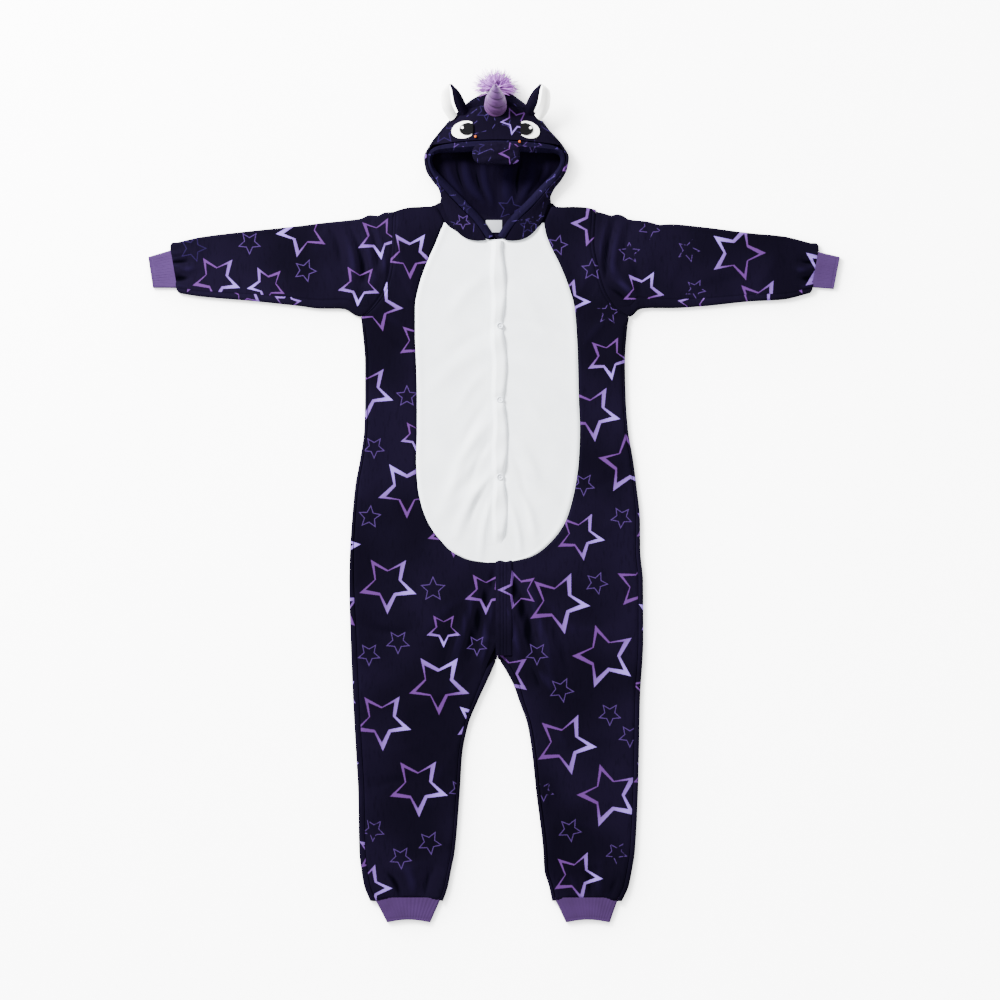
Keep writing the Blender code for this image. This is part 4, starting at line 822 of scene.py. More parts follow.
outs, ys = np.meshgrid(np.linspace(BAND_LEFT, BAND_RIGHT, 62), np.arange(BAND_BOTTOM, BAND_TOP + 0.1, 2.5))
height = ROLL + 2.0 * np.clip((CROTCH_Y + 60 - ys) / 60, 0, 1) ** 2
for row_of_stitches in BAND_STITCHES:
    height = height - 0.7 * np.exp(-(((outs - BAND_LEFT - row_of_stitches) / 0.9) ** 2))
edge = np.minimum(outs - BAND_LEFT, BAND_RIGHT - outs)
height = height - 1.6 * np.exp(-((edge / 1.6) ** 2)) + waves(outs, ys, 5, 60, 0.7)
height = height - 2.2 * np.exp(-(((BAND_TOP - ys) / 2.2) ** 2))
ys = ys + 1.2 * np.sin(outs / 3.1) * np.clip((ys - BAND_TOP + 10) / 10, 0, 1)
fleece = printed_fleece("star_fleece_band", ((37, -166, 37, 180, "purple"),))
band = shell("lower_placket_band", np.stack([CENTRE + outs, ys, height], -1), 2.0, fleece, towards=(0, 0, 1))
cut = {"flat": (0.031, 0.165), "held": "laid", "rests_on": ["front_panel_left", "front_panel_right"]}
take_place(band, "placket_lower", "printed_fleece", **cut)


# ---------------------------------------------------------------------------
# The sleeves: tubes of the printed fleece set into the armholes, eased in at
# the shoulder and gathered on to their cuffs.

# Distance out, and the heights of the upper and lower edges
SLEEVES = {
    "left": (
        (188, 516, 325), (201, 515.5, 325), (215, 506.5, 325), (230, 508.5, 325), (246, 502, 325),
        (273, 498.5, 339.5), (316, 494, 339.5), (359, 488.5, 344.5), (445, 479.5, 353.5), (532, 469, 361),
        (577, 459, 368),
    ),
    "right": (
        (177, 519, 325), (196, 509, 325), (204, 507, 325), (215, 510, 325), (225, 507.5, 325),
        (237, 500.5, 325), (253, 498.5, 343), (268, 497, 340), (282, 493.5, 339.5), (291, 491, 339.5),
        (310, 492, 339.5), (368, 487, 343), (454, 476, 352), (512, 470.5, 355.5), (564, 458, 368),
    ),
}
SLEEVE_END = {"left": ((591, 455), (576, 367)), "right": ((580, 452), (565, 368))}
WRIST_INSET = 10.0  # the gathers draw the sleeve in by this much on to the cuff, above and below
CUFF_HEIGHT = 7.0
WRIST_ROUND = 7.0  # radius of the rounded end over the cuff
UNDER_SHARE = 0.085  # the underarm seam, as a share of the way up the sleeve
SLEEVE_CREASES = (
    (-238, 345, -205, 420, 9, 1.8, 5), (-252, 350, -236, 430, 8, -1.4, 4),
    (-268, 348, -262, 440, 10, 1.6, -4), (-290, 352, -330, 452, 12, 1.2, -6),
    (-268, 488, -240, 392, 5, -3.6, 5), (-280, 486, -258, 404, 7, 2.4, 4),
    (-252, 494, -226, 404, 7, 3.0, 5), (-236, 502, -214, 402, 4.5, -3.4, 4),
    (-224, 503, -200, 400, 5.5, 3.2, 3), (-300, 486, -284, 420, 5, -2.4, 3),
    (-300, 484, -330, 440, 9, 1.4, -4), (-340, 380, -430, 410, 12, 0.9, 6),
    (-470, 372, -500, 440, 11, 1.2, 4), (-520, 462, -560, 400, 9, 1.3, -4),
    (-548, 378, -572, 372, 6, 1.2, 0), (-545, 412, -580, 408, 6, 2.4, 0),
    (-552, 425, -584, 424, 4, -2.6, 0), (-556, 395, -578, 393, 4, -2.6, 0),
    (-550, 442, -576, 440, 6, 1.3, 0), (238, 350, 202, 420, 9, 1.8, -5), (256, 352, 238, 430, 9, -1.5, -4),
    (276, 352, 272, 440, 11, 1.6, 5), (300, 360, 340, 450, 12, 1.2, 6), (212, 506, 194, 398, 5, -4.2, -5),
    (201, 512, 184, 420, 5, 3.4, -4), (226, 503, 206, 400, 8, 3.4, -5), (240, 497, 224, 420, 5, -2.6, -4),
    (250, 492, 264, 460, 6, 2.2, 2), (262, 490, 274, 462, 5, -2.2, 2), (275, 489, 288, 464, 6, 2.0, 2),
    (212, 390, 260, 350, 6, 2.6, 4), (204, 376, 240, 344, 4, -3.0, 3), (330, 470, 430, 440, 12, 1.0, -5),
    (360, 372, 450, 400, 12, -1.0, 6), (470, 380, 500, 448, 11, 1.2, -4), (520, 455, 548, 400, 9, 1.2, 4),
    (540, 382, 562, 376, 6, 1.3, 0), (536, 410, 572, 407, 6, 2.4, 0), (542, 424, 574, 422, 4, -2.6, 0),
    (546, 394, 568, 392, 4, -2.6, 0), (540, 440, 568, 438, 6, 1.3, 0),
)
SLEEVE_STARS = {
    "left": (
        (-505, 393, 45, -21, "large"), (-415, 382, 36, -170, "large"), (-351, 479, 48, -174, "large"),
        (-215, 467, 40, -81, "large"), (-249, 382, 39, -94, "large"), (-446, 458, 22, 54, "small"),
        (-346, 408, 22, -3, "small"), (-548, 448, 26, 0, "faint"),
    ),
    "right": (
        (431, 440, 52, 144, "large"), (473, 346, 50, -10, "large"), (262, 372, 39, 60, "large"),
        (237, 440, 21, 90, "worn"), (343, 444, 22, -2, "worn"), (356, 374, 20, -10, "worn"),
        (274, 485, 22, 54, "worn"), (595, 410, 50, 143, "large"),
    ),
}

# On the underside and the strip of it that shows below the seam
UNDERARM_STARS = {
    "left": (
        (-545, 396, 30, 100, "large"), (-452, 372, 34, 30, "large"), (-378, 350, 26, 80, "large"),
        (-500, 430, 22, 10, "small"), (-400, 440, 46, 60, "large"), (-300, 400, 44, 150, "large"),
        (-300, 470, 22, 10, "small"),
    ),
    "right": (
        (535, 394, 30, 80, "large"), (470, 346, 46, -10, "large"), (352, 350, 28, 100, "large"),
        (490, 430, 22, 10, "small"), (400, 440, 46, 120, "large"), (290, 400, 44, 30, "large"),
        (300, 470, 22, 10, "small"),
    ),
}


def sleeve_line(side, progress, share):
    """A point of the sleeve as (out, y), by progress from the armhole and share from the lower edge up."""
    y = ARM_LOW + (ARM_TOP - ARM_LOW) * share
    start = along(ARMHOLE, side, y)
    top, bottom = SLEEVE_END[side]
    out = start + (bottom[0] + (top[0] - bottom[0]) * share - start) * progress
    y = y + (bottom[1] + (top[1] - bottom[1]) * share - y) * progress
    outs, highs, lows = zip(*SLEEVES[side])
    low = smooth(outs, lows, out) - np.interp(out, (246, bottom[0]), (ARM_LOW, bottom[1]))
    high = smooth(outs, highs, out) - np.interp(out, (outs[0], top[0]), (ARM_TOP, top[1]))
    return out, y + (low + (high - low) * share) * np.sin(np.minimum(1, progress * 8) * math.pi / 2)


def tube_section(length, height, flat, bend, seam=0):
    """A flattened tube's section, one row per length: shares of the length, heights, and how much on top."""
    inset = (height / 2 / length)[:, None]
    even = np.linspace(0, 1, flat)
    if seam:
        near = np.array([-0.03, -0.02, -0.012, -0.006, 0, 0.006, 0.012, 0.02, 0.03])
        even = np.sort(np.concatenate([even[np.abs(even - seam) > 0.036], seam + near]))
        flat = len(even)
    turn = np.linspace(-80, 80, bend) * math.pi / 180
    under = inset + (1 - 2 * inset) * even
    far, near = 1 - inset + inset * np.cos(turn), inset - inset * np.cos(turn[::-1])
    share = np.concatenate([under, far, under[:, ::-1], near], axis=1)
    round_height = height / 2 * (1 + np.sin(turn))
    rise = np.concatenate([np.zeros(flat), round_height, np.full(flat, height), round_height[::-1]])
    on_top = np.concatenate([np.zeros(flat + bend), np.sin(math.pi * even) ** 0.35, np.zeros(bend)])
    return share, np.broadcast_to(rise, share.shape), np.broadcast_to(on_top, share.shape)


# Close together by the armhole seam and by the cuff, then a few rows turned in on to the cuff
ROWS_IN = (0, 0.003, 0.007, 0.012, 0.018, 0.025)
TURNED_IN = np.sin(np.radians([15, 32, 50, 66, 80, 90]))
progress = np.unique(np.concatenate([ROWS_IN, np.linspace(0.03, 0.96, 92), [0.97, 0.98]]))
close = np.concatenate([np.zeros(len(progress)), TURNED_IN])
turned = 1 - np.cos(np.arcsin(close))
progress = np.concatenate([progress, [0.98] * len(TURNED_IN)])[:, None]
for side in ("left", "right"):
    end_out, end_y = sleeve_line(side, progress, np.array([[0.0, 1.0]]))
    length = np.hypot(end_out[:, 1] - end_out[:, 0], end_y[:, 1] - end_y[:, 0])
    share, rise, on_top = tube_section(length, ROLL, 44, 9, UNDER_SHARE)
    squeeze = 1 - turned * 2 * WRIST_INSET / length
    share = 0.5 + (share - 0.5) * squeeze[:, None]
    outs, ys = sleeve_line(side, progress, share)
    outs = outs + (WRIST_ROUND + 0.5) * close[:, None]
    xs = CENTRE + SIGN[side] * outs
    start = outs - along(ARMHOLE, side, ARM_LOW + (ARM_TOP - ARM_LOW) * share)
    folds = creases(xs, ys, SLEEVE_CREASES)
    loose = folds + waves(xs, ys, 51 + len(side), 110, 1.2) - 1.2
    gathers = 0.9 * np.sin(share * 31 + 3 * np.sin(share * 9)) * np.clip((progress - 0.93) / 0.05, 0, 1)
    zs = rise + on_top * (np.minimum(1, start / 8) * loose + gathers)
    zs = zs - on_top * SEAM_DIP * np.exp(-((start / SEAM_WIDTH) ** 2))
    middle = ROLL / 2 - (ROLL - CUFF_HEIGHT) / 2 * turned
    zs = middle[:, None] + (zs - ROLL / 2) * (1 - (1 - CUFF_HEIGHT / ROLL) * turned)[:, None]
    # The underarm seam lies on top, a little way up from the lower edge
    stitching = np.exp(-(((share - UNDER_SHARE) / 0.012) ** 2))
    zs = zs - on_top * STITCH_DIP * stitching * np.clip(progress * 12, 0, 1)
    under = (share[0] + np.roll(share[0], -1)) / 2 < UNDER_SHARE
    under |= (rise[0] + np.roll(rise[0], -1)) / 2 < ROLL * 0.4
    piece = shell(
        f"sleeve_tube_{side}",
        np.stack([xs, ys, np.maximum(zs, 0)], -1),
        FLEECE,
        printed_fleece(f"star_fleece_sleeve_{side}", SLEEVE_STARS[side]),
        closed=True,
        strip=(printed_fleece(f"star_fleece_underarm_{side}", UNDERARM_STARS[side]), under),
        # The gathers count two and a half times over here, so the fleece paints their highlight and shade
        # stronger
        folds=on_top * (np.minimum(1, start / 8) * folds + 2.5 * gathers),
    )
    cut = {"flat": (0.40, 0.38), "area": 0.112, "held": "laid", "rests_on": []}
    take_place(piece, f"sleeve_{side}", "printed_fleece", **cut)


# ---------------------------------------------------------------------------
# The cuffs: tubes of purple rib knit, doubled, at the wrists and the ankles.
# They are sewn to the gathered ends and lie pressed flat.

WRIST_END = {"left": ((628.5, 433), (620, 377)), "right": ((616, 433), (605, 375))}
ANKLE_TOP = {"left": (101, 222), "right": (102, 218)}
ANKLE_END = {"left": (121, 199), "right": (123, 202)}
ANKLE_Y, ANKLE_BOW = -764.5, 5.0
CUFF_LAP = 1.4  # how far the cuffs start inside the sleeve and the hem
RIB = 2.6  # millimetres from one rib to the next
STITCH_IN = 5.0  # the free edge's row of stitches


def rib_knit(name, lit, shade):
    """Purple acrylic rib knit, flat and close: fine courses, a slightly darker edge."""
    material, tree, shader = new_material(name, 0.85, 0.03, 0.4, "#c9b4f0", 0.05)
    place = add_node(tree, "TexCoord", {}, "Object")
    lie = add_node(tree, "TexNoise", {"Vector": place, "Scale": 40.0, "Detail": 3.0})
    two_tone(tree, shader, shade, lit, lie)
    raise_grain(tree, shader, 800.0, 0.3, 0.0006, 1.0)
    return material


def cuff(name, node, starts, ends, bow, material, flat):
    """A flattened tube between two pairs of points, (x, y), with ribs along it. bow lifts its free edge."""
    share = np.linspace(0, 1, 26)
    first = starts[0] + (ends[0] - starts[0]) * share[:, None]
    second = starts[1] + (ends[1] - starts[1]) * share[:, None]
    length = np.hypot(*(second - first).T)
    across, rise, on_top = tube_section(length, CUFF_HEIGHT - 0.6, 60, 7)
    point = first[:, None] + (second - first)[:, None] * across[..., None]
    point[..., 1] += bow * share[:, None] * np.sin(math.pi * across)
    run = np.hypot(*((ends[0] + ends[1] - starts[0] - starts[1]) / 2))
    ribs = 0.3 * np.cos(2 * math.pi * (across - 0.5) * length[0] / RIB)
    stitched = 0.6 * np.exp(-((((1 - share) * run - STITCH_IN) / 0.8) ** 2))[:, None]
    zs = rise + 0.3 + (ribs - stitched) * np.where(rise > CUFF_HEIGHT / 2, 1, -1) * (on_top > 0)
    zs = zs + on_top * 0.8 * np.sin(math.pi * across) * np.exp(-((share[:, None] / 0.25) ** 2))
    piece = shell(name, np.concatenate([point, zs[..., None]], -1), 1.6, material, closed=True)
    take_place(piece, node, "rib_knit", flat=flat, held="laid", rests_on=[])


wrist_knit = rib_knit("purple_rib_wrist", "#38254c", "#301f40")
ankle_knit = rib_knit("purple_rib_ankle", "#352147", "#2b1b39")
centre = np.array([CENTRE, 0])
for side in ("left", "right"):
    top, bottom = (np.array(point, float) for point in SLEEVE_END[side])
    step = (top - bottom) / np.hypot(*(top - bottom)) * WRIST_INSET
    flip = np.array([SIGN[side], 1])
    starts = [centre + flip * (point - (CUFF_LAP, 0)) for point in (bottom + step, top - step)]
    ends = [centre + flip * np.array(point, float) for point in WRIST_END[side][::-1]]
    cuff(f"rib_wrist_{side}", f"wrist_cuff_{side}", starts, ends, 0.0, wrist_knit, (0.126, 0.046))
    starts = [centre + flip * np.array([out, HEM_Y + CUFF_LAP]) for out in ANKLE_TOP[side]]
    ends = [centre + flip * np.array([out, ANKLE_Y]) for out in ANKLE_END[side]]
    cuff(f"rib_ankle_{side}", f"ankle_cuff_{side}", starts, ends, ANKLE_BOW, ankle_knit, (0.2, 0.048))


# ---------------------------------------------------------------------------
# The hood: two sides joined down the back, and a face panel over the brow.
# It lies on its back with the opening up.

HOOD = (
    (
        "rim_y", "rim_left", "rim_right", "rim_z", "edge_y", "edge_left", "edge_right", "height", "back_y",
        "sag",
    ),
    (463, 20.0, 13.5, 10.5, 531, 104, 96.5, 9, 502.5, 1.0),
    (492, 39, 32, 13.5, 539, 102, 95.5, 12, 523, 0.35),
    (522, 69, 64, 17.0, 553.5, 105.5, 101.5, 15, 543, 0.1),
    (553, 98, 91, 20.0, 570, 118, 114.5, 18, 564, 0), (583, 122, 117, 22.5, 590, 129.5, 125, 20, 589.5, 0),
    (610, 129, 125, 24.0, 611, 132.5, 128.5, 22, 616.5, 0),
    (633, 118.5, 113.5, 25.0, 633, 122.5, 117.5, 24, 638, 0),
    (665, 93, 85, 25.5, 661.5, 101, 92.5, 25, 661.5, 0), (681, 74.5, 69.5, 25.5, 683, 82, 76.5, 25, 683, 0),
    (694, 58.5, 53, 24.5, 699.5, 65, 59.5, 24, 697.5, 0),
    (701, 42.5, 37, 24.0, 713.5, 49.5, 42.5, 23, 708, 0),
    (704.7, 22.5, 17, 23.5, 725.5, 26, 22.5, 22, 715.5, 0),
    (705.6, 0.7, 0.7, 23.5, 729, 0.7, 0.7, 22, 719.5, 0),
)
BRIM_ROW, BRIM_Y = 6, 633.0
BRIM_RISE = 8.5  # the brow seam bows up this much to its middle
CROWN_Y = 704.7  # the top of the face panel
RIM_COLUMNS = 27  # columns of the grid from the rim round to the table
DOME = ((633, 19.5), (665, 16), (681, 13), (694, 10), (704.7, 7))
HOOD_INSIDE_CREASES = (
    (-10.5, 700, -9.5, 512, 1.8, 2.0, 1), (6, 700, 5.5, 512, 1.8, 2.0, -1),
    (-93, 604, -56, 540, 8, 4.0, -7), (-73, 616, -47, 530, 3.5, -4.0, -8),
    (-60, 606, -27, 534, 8.5, 6.0, -8), (-43, 600, -17, 532, 3, -4.5, -5), (-27, 606, -9, 528, 7, 5.0, -4),
    (22, 600, 19, 528, 11, 5.5, -4), (44, 606, 36, 540, 3.5, -4.5, -5), (64, 606, 40, 534, 8, 5.5, 6),
    (82, 600, 56, 548, 3, -3.5, 5), (92, 608, 74, 566, 6, 3.5, 4),
)
HOOD_STARS = {
    "left": (
        (-62, 496, 15, 54, "small"), (-161, 612, 40, 2, "purple"), (-84, 645, 22, 54, "faint"),
        (-96, 560, 16, 20, "faint"),
    ),
    "right": (
        (110, 506, 24, 0, "large"), (150.6, 600, 40, 56, "purple"), (54, 488, 15, 20, "faint"),
        (90, 640, 20, 50, "faint"), (98, 555, 15, 70, "faint"),
    ),
}
FACE_STARS = (
    (31, 675, 27, -103, "medium"), (-21, 692, 18, 60, "faint"), (-96, 655, 22, 20, "faint"),
)


def hood_column(name, t):
    """A column of the hood's table at t, counted in rows."""
    k = HOOD[0].index(name)
    values = [row[k] for row in HOOD[1:]]
    return smooth(range(len(values)), values, t)


def hood_line(out, y, z, t):
    """Points on a line round the hood, from its distance out (a column or a number), y column and heights."""
    outs = hood_column(out, t) if isinstance(out, str) else np.full_like(t, out)
    return np.stack([outs, hood_column(y, t), z], -1)


def rolled_in(edge, end, part, most=8.0):
    """How far the roll at an edge reaches in towards its end points, as steps in x and y."""
    way = (end - edge) * (1, 1, 0)
    size = np.hypot(way[:, 0], way[:, 1])[:, None]
    return way / size * np.minimum(most, size * part)


def hood_grid(side):
    """The hood side's outer surface: from the rim over the rolled edge and down to the centre back."""
    t = np.unique(np.concatenate([np.linspace(0, 12, 121), np.linspace(11, 12, 16)]))
    height = hood_column("height", t)
    rim = hood_line(f"rim_{side}", "rim_y", hood_column("rim_z", t), t)
    edge = hood_line(f"edge_{side}", "edge_y", height / 2, t)
    back = hood_line(-0.1, "back_y", np.zeros_like(t), t)
    over, under = rolled_in(edge, rim, 0.8), rolled_in(edge, back, 0.9)
    up = np.stack([np.zeros_like(t), np.zeros_like(t), height / 2], -1)
    top = edge + over + up
    # By the neck the side sags towards the opening
    bend = (rim + top) / 2 + hood_column("sag", t)[:, None] * np.array([18.0, -43.0, 0.0])
    columns = []
    for share in np.linspace(0, 1, 16):
        low, high = rim + (bend - rim) * share, bend + (top - bend) * share
        columns.append(low + (high - low) * share)
    for turn in np.radians(np.linspace(75, -75, 11)):
        lead = over if turn > 0 else under
        columns.append(edge + lead * (1 - math.cos(turn)) + up * math.sin(turn))
    floor = edge + under - up
    columns += [floor + (back - floor) * share for share in np.linspace(0, 1, 26)]
    grid = np.stack(columns, axis=1)
    grid[..., 0] = CENTRE + SIGN[side] * grid[..., 0]
    return grid


def seam_height(y):
    """Height of the face panel's seam."""
    rows = HOOD[BRIM_ROW + 1 : -1]
    return hood_column("rim_z", np.interp(y, [row[0] for row in rows], range(BRIM_ROW, BRIM_ROW + len(rows))))


def face_reach(side, y):
    """Distance out to the face panel's seam."""
    rows = HOOD[BRIM_ROW + 1 : -1]
    return smooth([row[0] for row in rows], [row[HOOD[0].index(f"rim_{side}")] for row in rows], y)


def face_top(x, y):
    """Height of the face panel at x and y."""
    reach = np.where(x > CENTRE, face_reach("right", y), face_reach("left", y))
    share = np.minimum(1, np.abs(x - CENTRE) / reach)
    return seam_height(y) + smooth(*zip(*DOME), y) * (1 - share**2)


# The last of these colours is the painted highlight on the ridges of the hood's creases
wrong_side = printed_fleece(
    "fleece_wrong_side", ((22, 520, 24, 80, "faint"),), "#090613", "#06040d", "#030206", "#0b0719"
)
for side in ("left", "right"):
    grid = hood_grid(side)
    low = grid[:, RIM_COLUMNS:]
    count = low.shape[1]
    part = np.clip(np.arange(count) / 5, 0, 1) * np.clip((count - 1 - np.arange(count)) / 3, 0, 1)
    folds = np.zeros(grid.shape[:2])
    folds[:, RIM_COLUMNS:] = creases(low[..., 0], low[..., 1], HOOD_INSIDE_CREASES) * part
    low[..., 2] += np.maximum(0, folds[:, RIM_COLUMNS:])
    fleece = printed_fleece(f"star_fleece_hood_{side}", HOOD_STARS[side], flecks=0.35)
    # The creases' heights go to the fleece as its fold attribute, from which it paints highlight and shade
    piece = shell(
        f"hood_side_{side}", grid, FLEECE, fleece, towards=(0, 0, -1), lining=wrong_side, folds=folds
    )
    cut = {"flat": (0.28, 0.16), "area": 0.034, "held": "laid", "rests_on": []}
    take_place(piece, f"hood_{side}", "printed_fleece", **cut)

rise = np.linspace(0, 1, 44)[:, None]
share = np.linspace(-1, 1, 73)
ys = BRIM_Y + BRIM_RISE * (1 - share**2) * (1 - rise) + (CROWN_Y - BRIM_Y) * rise
left, right = face_reach("left", ys) - 0.5, face_reach("right", ys) - 0.5
xs = CENTRE + np.where(share < 0, left * share, right * share)
zs = face_top(xs, ys) - 0.8 * np.exp(-(((1 - np.abs(share)) * 60 / 3) ** 2))
fleece = printed_fleece("star_fleece_face", FACE_STARS, flecks=0.4)
face_panel = shell("face_panel", np.stack([xs, ys, zs], -1), FLEECE, fleece, towards=(0, 0, 1))
cut = {"flat": (0.23, 0.09), "area": 0.0125, "held": "laid"}
cut["rests_on"] = ["hood_side_left", "hood_side_right"]
take_place(face_panel, "hood_face", "printed_fleece", **cut)


# ---------------------------------------------------------------------------
# The binding: a doubled band of the fleece round the face opening, cut wider
# over the brow, where it makes a soft brim.

BAND, BRIM_EXTRA = 14.0, 4.0
BAND_WALL, BAND_GAP = 4.0, 1.7
BINDING_STARS = (
    (-70, 640, 16, 20, "worn"), (62, 636, 20, 200, "worn"), (57, 485, 16, 40, "faint"),
    (-60, 520, 14, 80, "faint"),
)


def evened(line, ends):
    """Points moved three times to the mean of the seven round them, but for so many at either end."""
    for _ in range(3):
        line[ends:-ends] = sum(line[ends + k : len(line) - ends + k] for k in range(-3, 4)) / 7
    return line


t = np.linspace(0, BRIM_ROW, 56)
left, right = (hood_line(f"rim_{side}", "rim_y", hood_column("rim_z", t), t) for side in ("left", "right"))
left[:, 0], right[:, 0] = CENTRE - left[:, 0], CENTRE + right[:, 0]
across = np.linspace(left[-1, 0], right[-1, 0], 50)[1:-1]
brow_y = BRIM_Y + BRIM_RISE * (1 - np.linspace(-1, 1, len(across)) ** 2)
brow = np.stack([across, brow_y, face_top(across, brow_y)], -1)
line = evened(np.concatenate([left, brow, right[::-1]]), 4)
on_brow = slice(len(t), len(t) + len(across))
brow_share = np.zeros(len(line))
brow_share[on_brow] = 1 - np.abs(np.linspace(-1, 1, len(across)))
kernel = np.array([1, 2, 3, 2, 1]) / 9
padded = np.pad(np.gradient(line, axis=0)[:, :2], ((2, 2), (0, 0)), "edge")
way = np.stack([np.convolve(padded[:, k], kernel, "valid") for k in (0, 1)], -1)
way /= np.hypot(way[:, 0], way[:, 1])[:, None]
inwards = np.stack([way[:, 1], -way[:, 0], np.zeros(len(way))], -1)
# By the opening's upper corners the band stands nearly upright, so less of it shows from above
steep = np.exp(-(((t - 4.7) / 1.2) ** 2))
upright = np.concatenate([steep, steep[-1] * np.exp(-brow_share[on_brow] * 12), steep[::-1]])
width = BAND + BRIM_EXTRA * np.minimum(1, 2 * brow_share) - 6.0 * upright
drop = 3.0 + 5.0 * (brow_share > 0) * np.minimum(1, brow_share * 12) + 4.0 * upright
start = line + inwards * BAND_GAP
turn = np.linspace(0, 2 * math.pi, 33)[:-1]
u = 0.5 - 0.5 * np.sign(np.cos(turn)) * np.abs(np.cos(turn)) ** 0.7
rings = []
for i in range(len(line)):
    middle_z = np.interp(u, (0, 0.5, 1), (0, 0.8, -drop[i])) - BAND_WALL / 2
    z = middle_z + BAND_WALL / 2 * np.sign(np.sin(turn)) * np.abs(np.sin(turn)) ** 0.6
    z = z - 0.7 * np.exp(-(((u - 0.3) / 0.05) ** 2)) * (np.sin(turn) > 0)
    rings.append(start[i] + inwards[i] * (width[i] * u)[:, None] + np.stack([0 * u, 0 * u, z], -1))
# Its navy is painted a little lighter than the other panels': a painted highlight on the raised band
fleece = printed_fleece("star_fleece_binding", BINDING_STARS, "#0f0b1d", "#0a0716", flecks=0.5)
binding = shell("opening_binding", rings, 1.2, fleece, closed=True)
cut = {"flat": (0.030, 0.66), "held": "folded"}
cut["rests_on"] = ["hood_side_left", "hood_side_right", "face_panel"]
take_place(binding, "hood_binding", "printed_fleece", **cut)


# ---------------------------------------------------------------------------
# The ears: a leaf of the navy fleece towards the middle and a leaf of white
# felt outside it, sewn together at their ridge and standing up from the hood.

EAR_RIDGE = ((-71, 687, 27.6), (-80.5, 708, 48), (-84.5, 732, 59), (-86, 739.5, 55))
EAR_FELT = ((-84, 676, 25.6), (-100, 702, 32), (-100, 728, 42), (-86, 739.5, 48))
EAR_CLOTH = ((-53, 690, 26.6), (-59.5, 710, 37), (-74, 733, 49), (-86, 739.5, 48))
EAR_SPLIT, EAR_BOW = 1.9, 4.0  # the gap between the leaves at the ridge, and how far each bows out
EAR_SHIFT = {"left": 0.0, "right": 6.0}
EAR_DROP = {"outer": {"left": 1.0, "right": 1.0}, "inner": {"left": 0.4, "right": 0.7}}

plain = printed_fleece("plain_navy_fleece", ())
# Brushed polyester felt: matt off-white with a fine fuzz
felt, tree, shader = new_material("white_felt", 0.95, 0.1, 0.5, "#ffffff", 0.1, "#fafaf8")
raise_grain(tree, shader, 900.0, 0.2, 0.0006)


def ear_leaf(side, kind, table):
    """A leaf from the ridge down to its free edge, bowed outwards."""
    at = np.linspace(0, 3, 34)
    ridge, free = (
        np.stack([smooth(range(4), [point[k] for point in points], at) for k in range(3)], -1)
        for points in (EAR_RIDGE, table)
    )
    spine = ridge[-1] - ridge[0]
    spine /= np.linalg.norm(spine)
    down = evened(free, 3) - ridge
    size = np.maximum(np.linalg.norm(down, axis=1, keepdims=True), 1e-6)
    away = np.cross(down / size, spine)
    away *= np.where(away[:, 2:] < 0, -1, 1)
    split = (EAR_SPLIT / 2 + at / 8) * (1 if kind == "inner" else -1)
    columns = []
    for part in np.linspace(0, 1, 18):
        point = ridge + down * (0.06 + 0.94 * part) + away * EAR_BOW * math.sin(math.pi * part)
        point[:, 0] -= split
        out = -point[:, 0] - EAR_SHIFT[side]
        height = point[:, 2] - EAR_DROP[kind][side]
        columns.append(np.stack([CENTRE + SIGN[side] * out, point[:, 1], height], -1))
    return np.stack(columns, axis=1)


for side in ("left", "right"):
    for kind, table, material, slot, flat in (
        ("outer", EAR_CLOTH, plain, "plain_fleece", (0.02, 0.06)),
        ("inner", EAR_FELT, felt, "white_felt", (0.034, 0.068)),
    ):
        leaf = shell(f"ear_leaf_{kind}_{side}", ear_leaf(side, kind, table), 1.8, material, towards=(0, 0, 1))
        cut = {"flat": flat, "area": 0.85 * flat[0] * flat[1]}
        cut |= {"held": "laid", "rests_on": [f"hood_side_{side}"]}
        take_place(leaf, f"ear_{kind}_{side}", slot, **cut)


# ---------------------------------------------------------------------------
# The horn: a stuffed cone of satin-faced lilac plush, wound with a thread that
# pulls in its rings. It leans back over the crown.

HORN_BASE = np.array([CENTRE - 3.5, 703.0])
HORN_SEAT = 1.2
HORN_RADIUS, HORN_LENGTH, HORN_REACH = 20.5, 62.0, 33.5
HORN_TURNS, GROOVE, GROOVE_WIDTH = 4.5, 3.4, 0.14
GROOVE_SHADE = 0.09  # width of the groove's painted shade, in turns

share = np.linspace(0, 1, 120)
angle = np.linspace(0, 2 * math.pi, 65)[:-1]
lean = np.radians(12 + 34 * np.minimum(1, share * 1.6)) * np.minimum(1, share * 3)
radius = HORN_RADIUS * (1 - share) + 3.4 * (1 - share**10) * np.minimum(1, share * 4)
wound = (angle[None, :] / (2 * math.pi) + HORN_TURNS * share[:, None]) % 1
wound = np.minimum(wound, 1 - wound)
begun = np.minimum(1, share * 6)[:, None]
groove = GROOVE * np.exp(-((wound / GROOVE_WIDTH) ** 2)) * begun * (1 - 0.6 * share[:, None])
size = np.maximum(0.4, radius[:, None] - groove)
dx, dy = size * np.cos(angle), size * np.sin(angle)
base_z = HORN_SEAT + face_top(HORN_BASE[0], HORN_BASE[1])
under = face_top(HORN_BASE[0] + dx, np.minimum(HORN_BASE[1] + dy, CROWN_Y)) - base_z + HORN_SEAT
xs = HORN_BASE[0] + dx
ys = HORN_BASE[1] + (HORN_REACH * share)[:, None] + dy * np.cos(lean)[:, None]
seat = under * np.maximum(0, 1 - share * 4)[:, None]
zs = base_z + HORN_LENGTH * share[:, None] - dy * np.sin(lean)[:, None] + seat
mesh = bpy.data.meshes.new("horn_cone")
bm = bmesh.new()
rows = [[bm.verts.new(point * MM) for point in ring] for ring in np.stack([xs, ys, zs], -1)]
for low, high in zip(rows, rows[1:]):
    for j in range(len(angle)):
        k = (j + 1) % len(angle)
        bm.faces.new((low[j], low[k], high[k], high[j]))
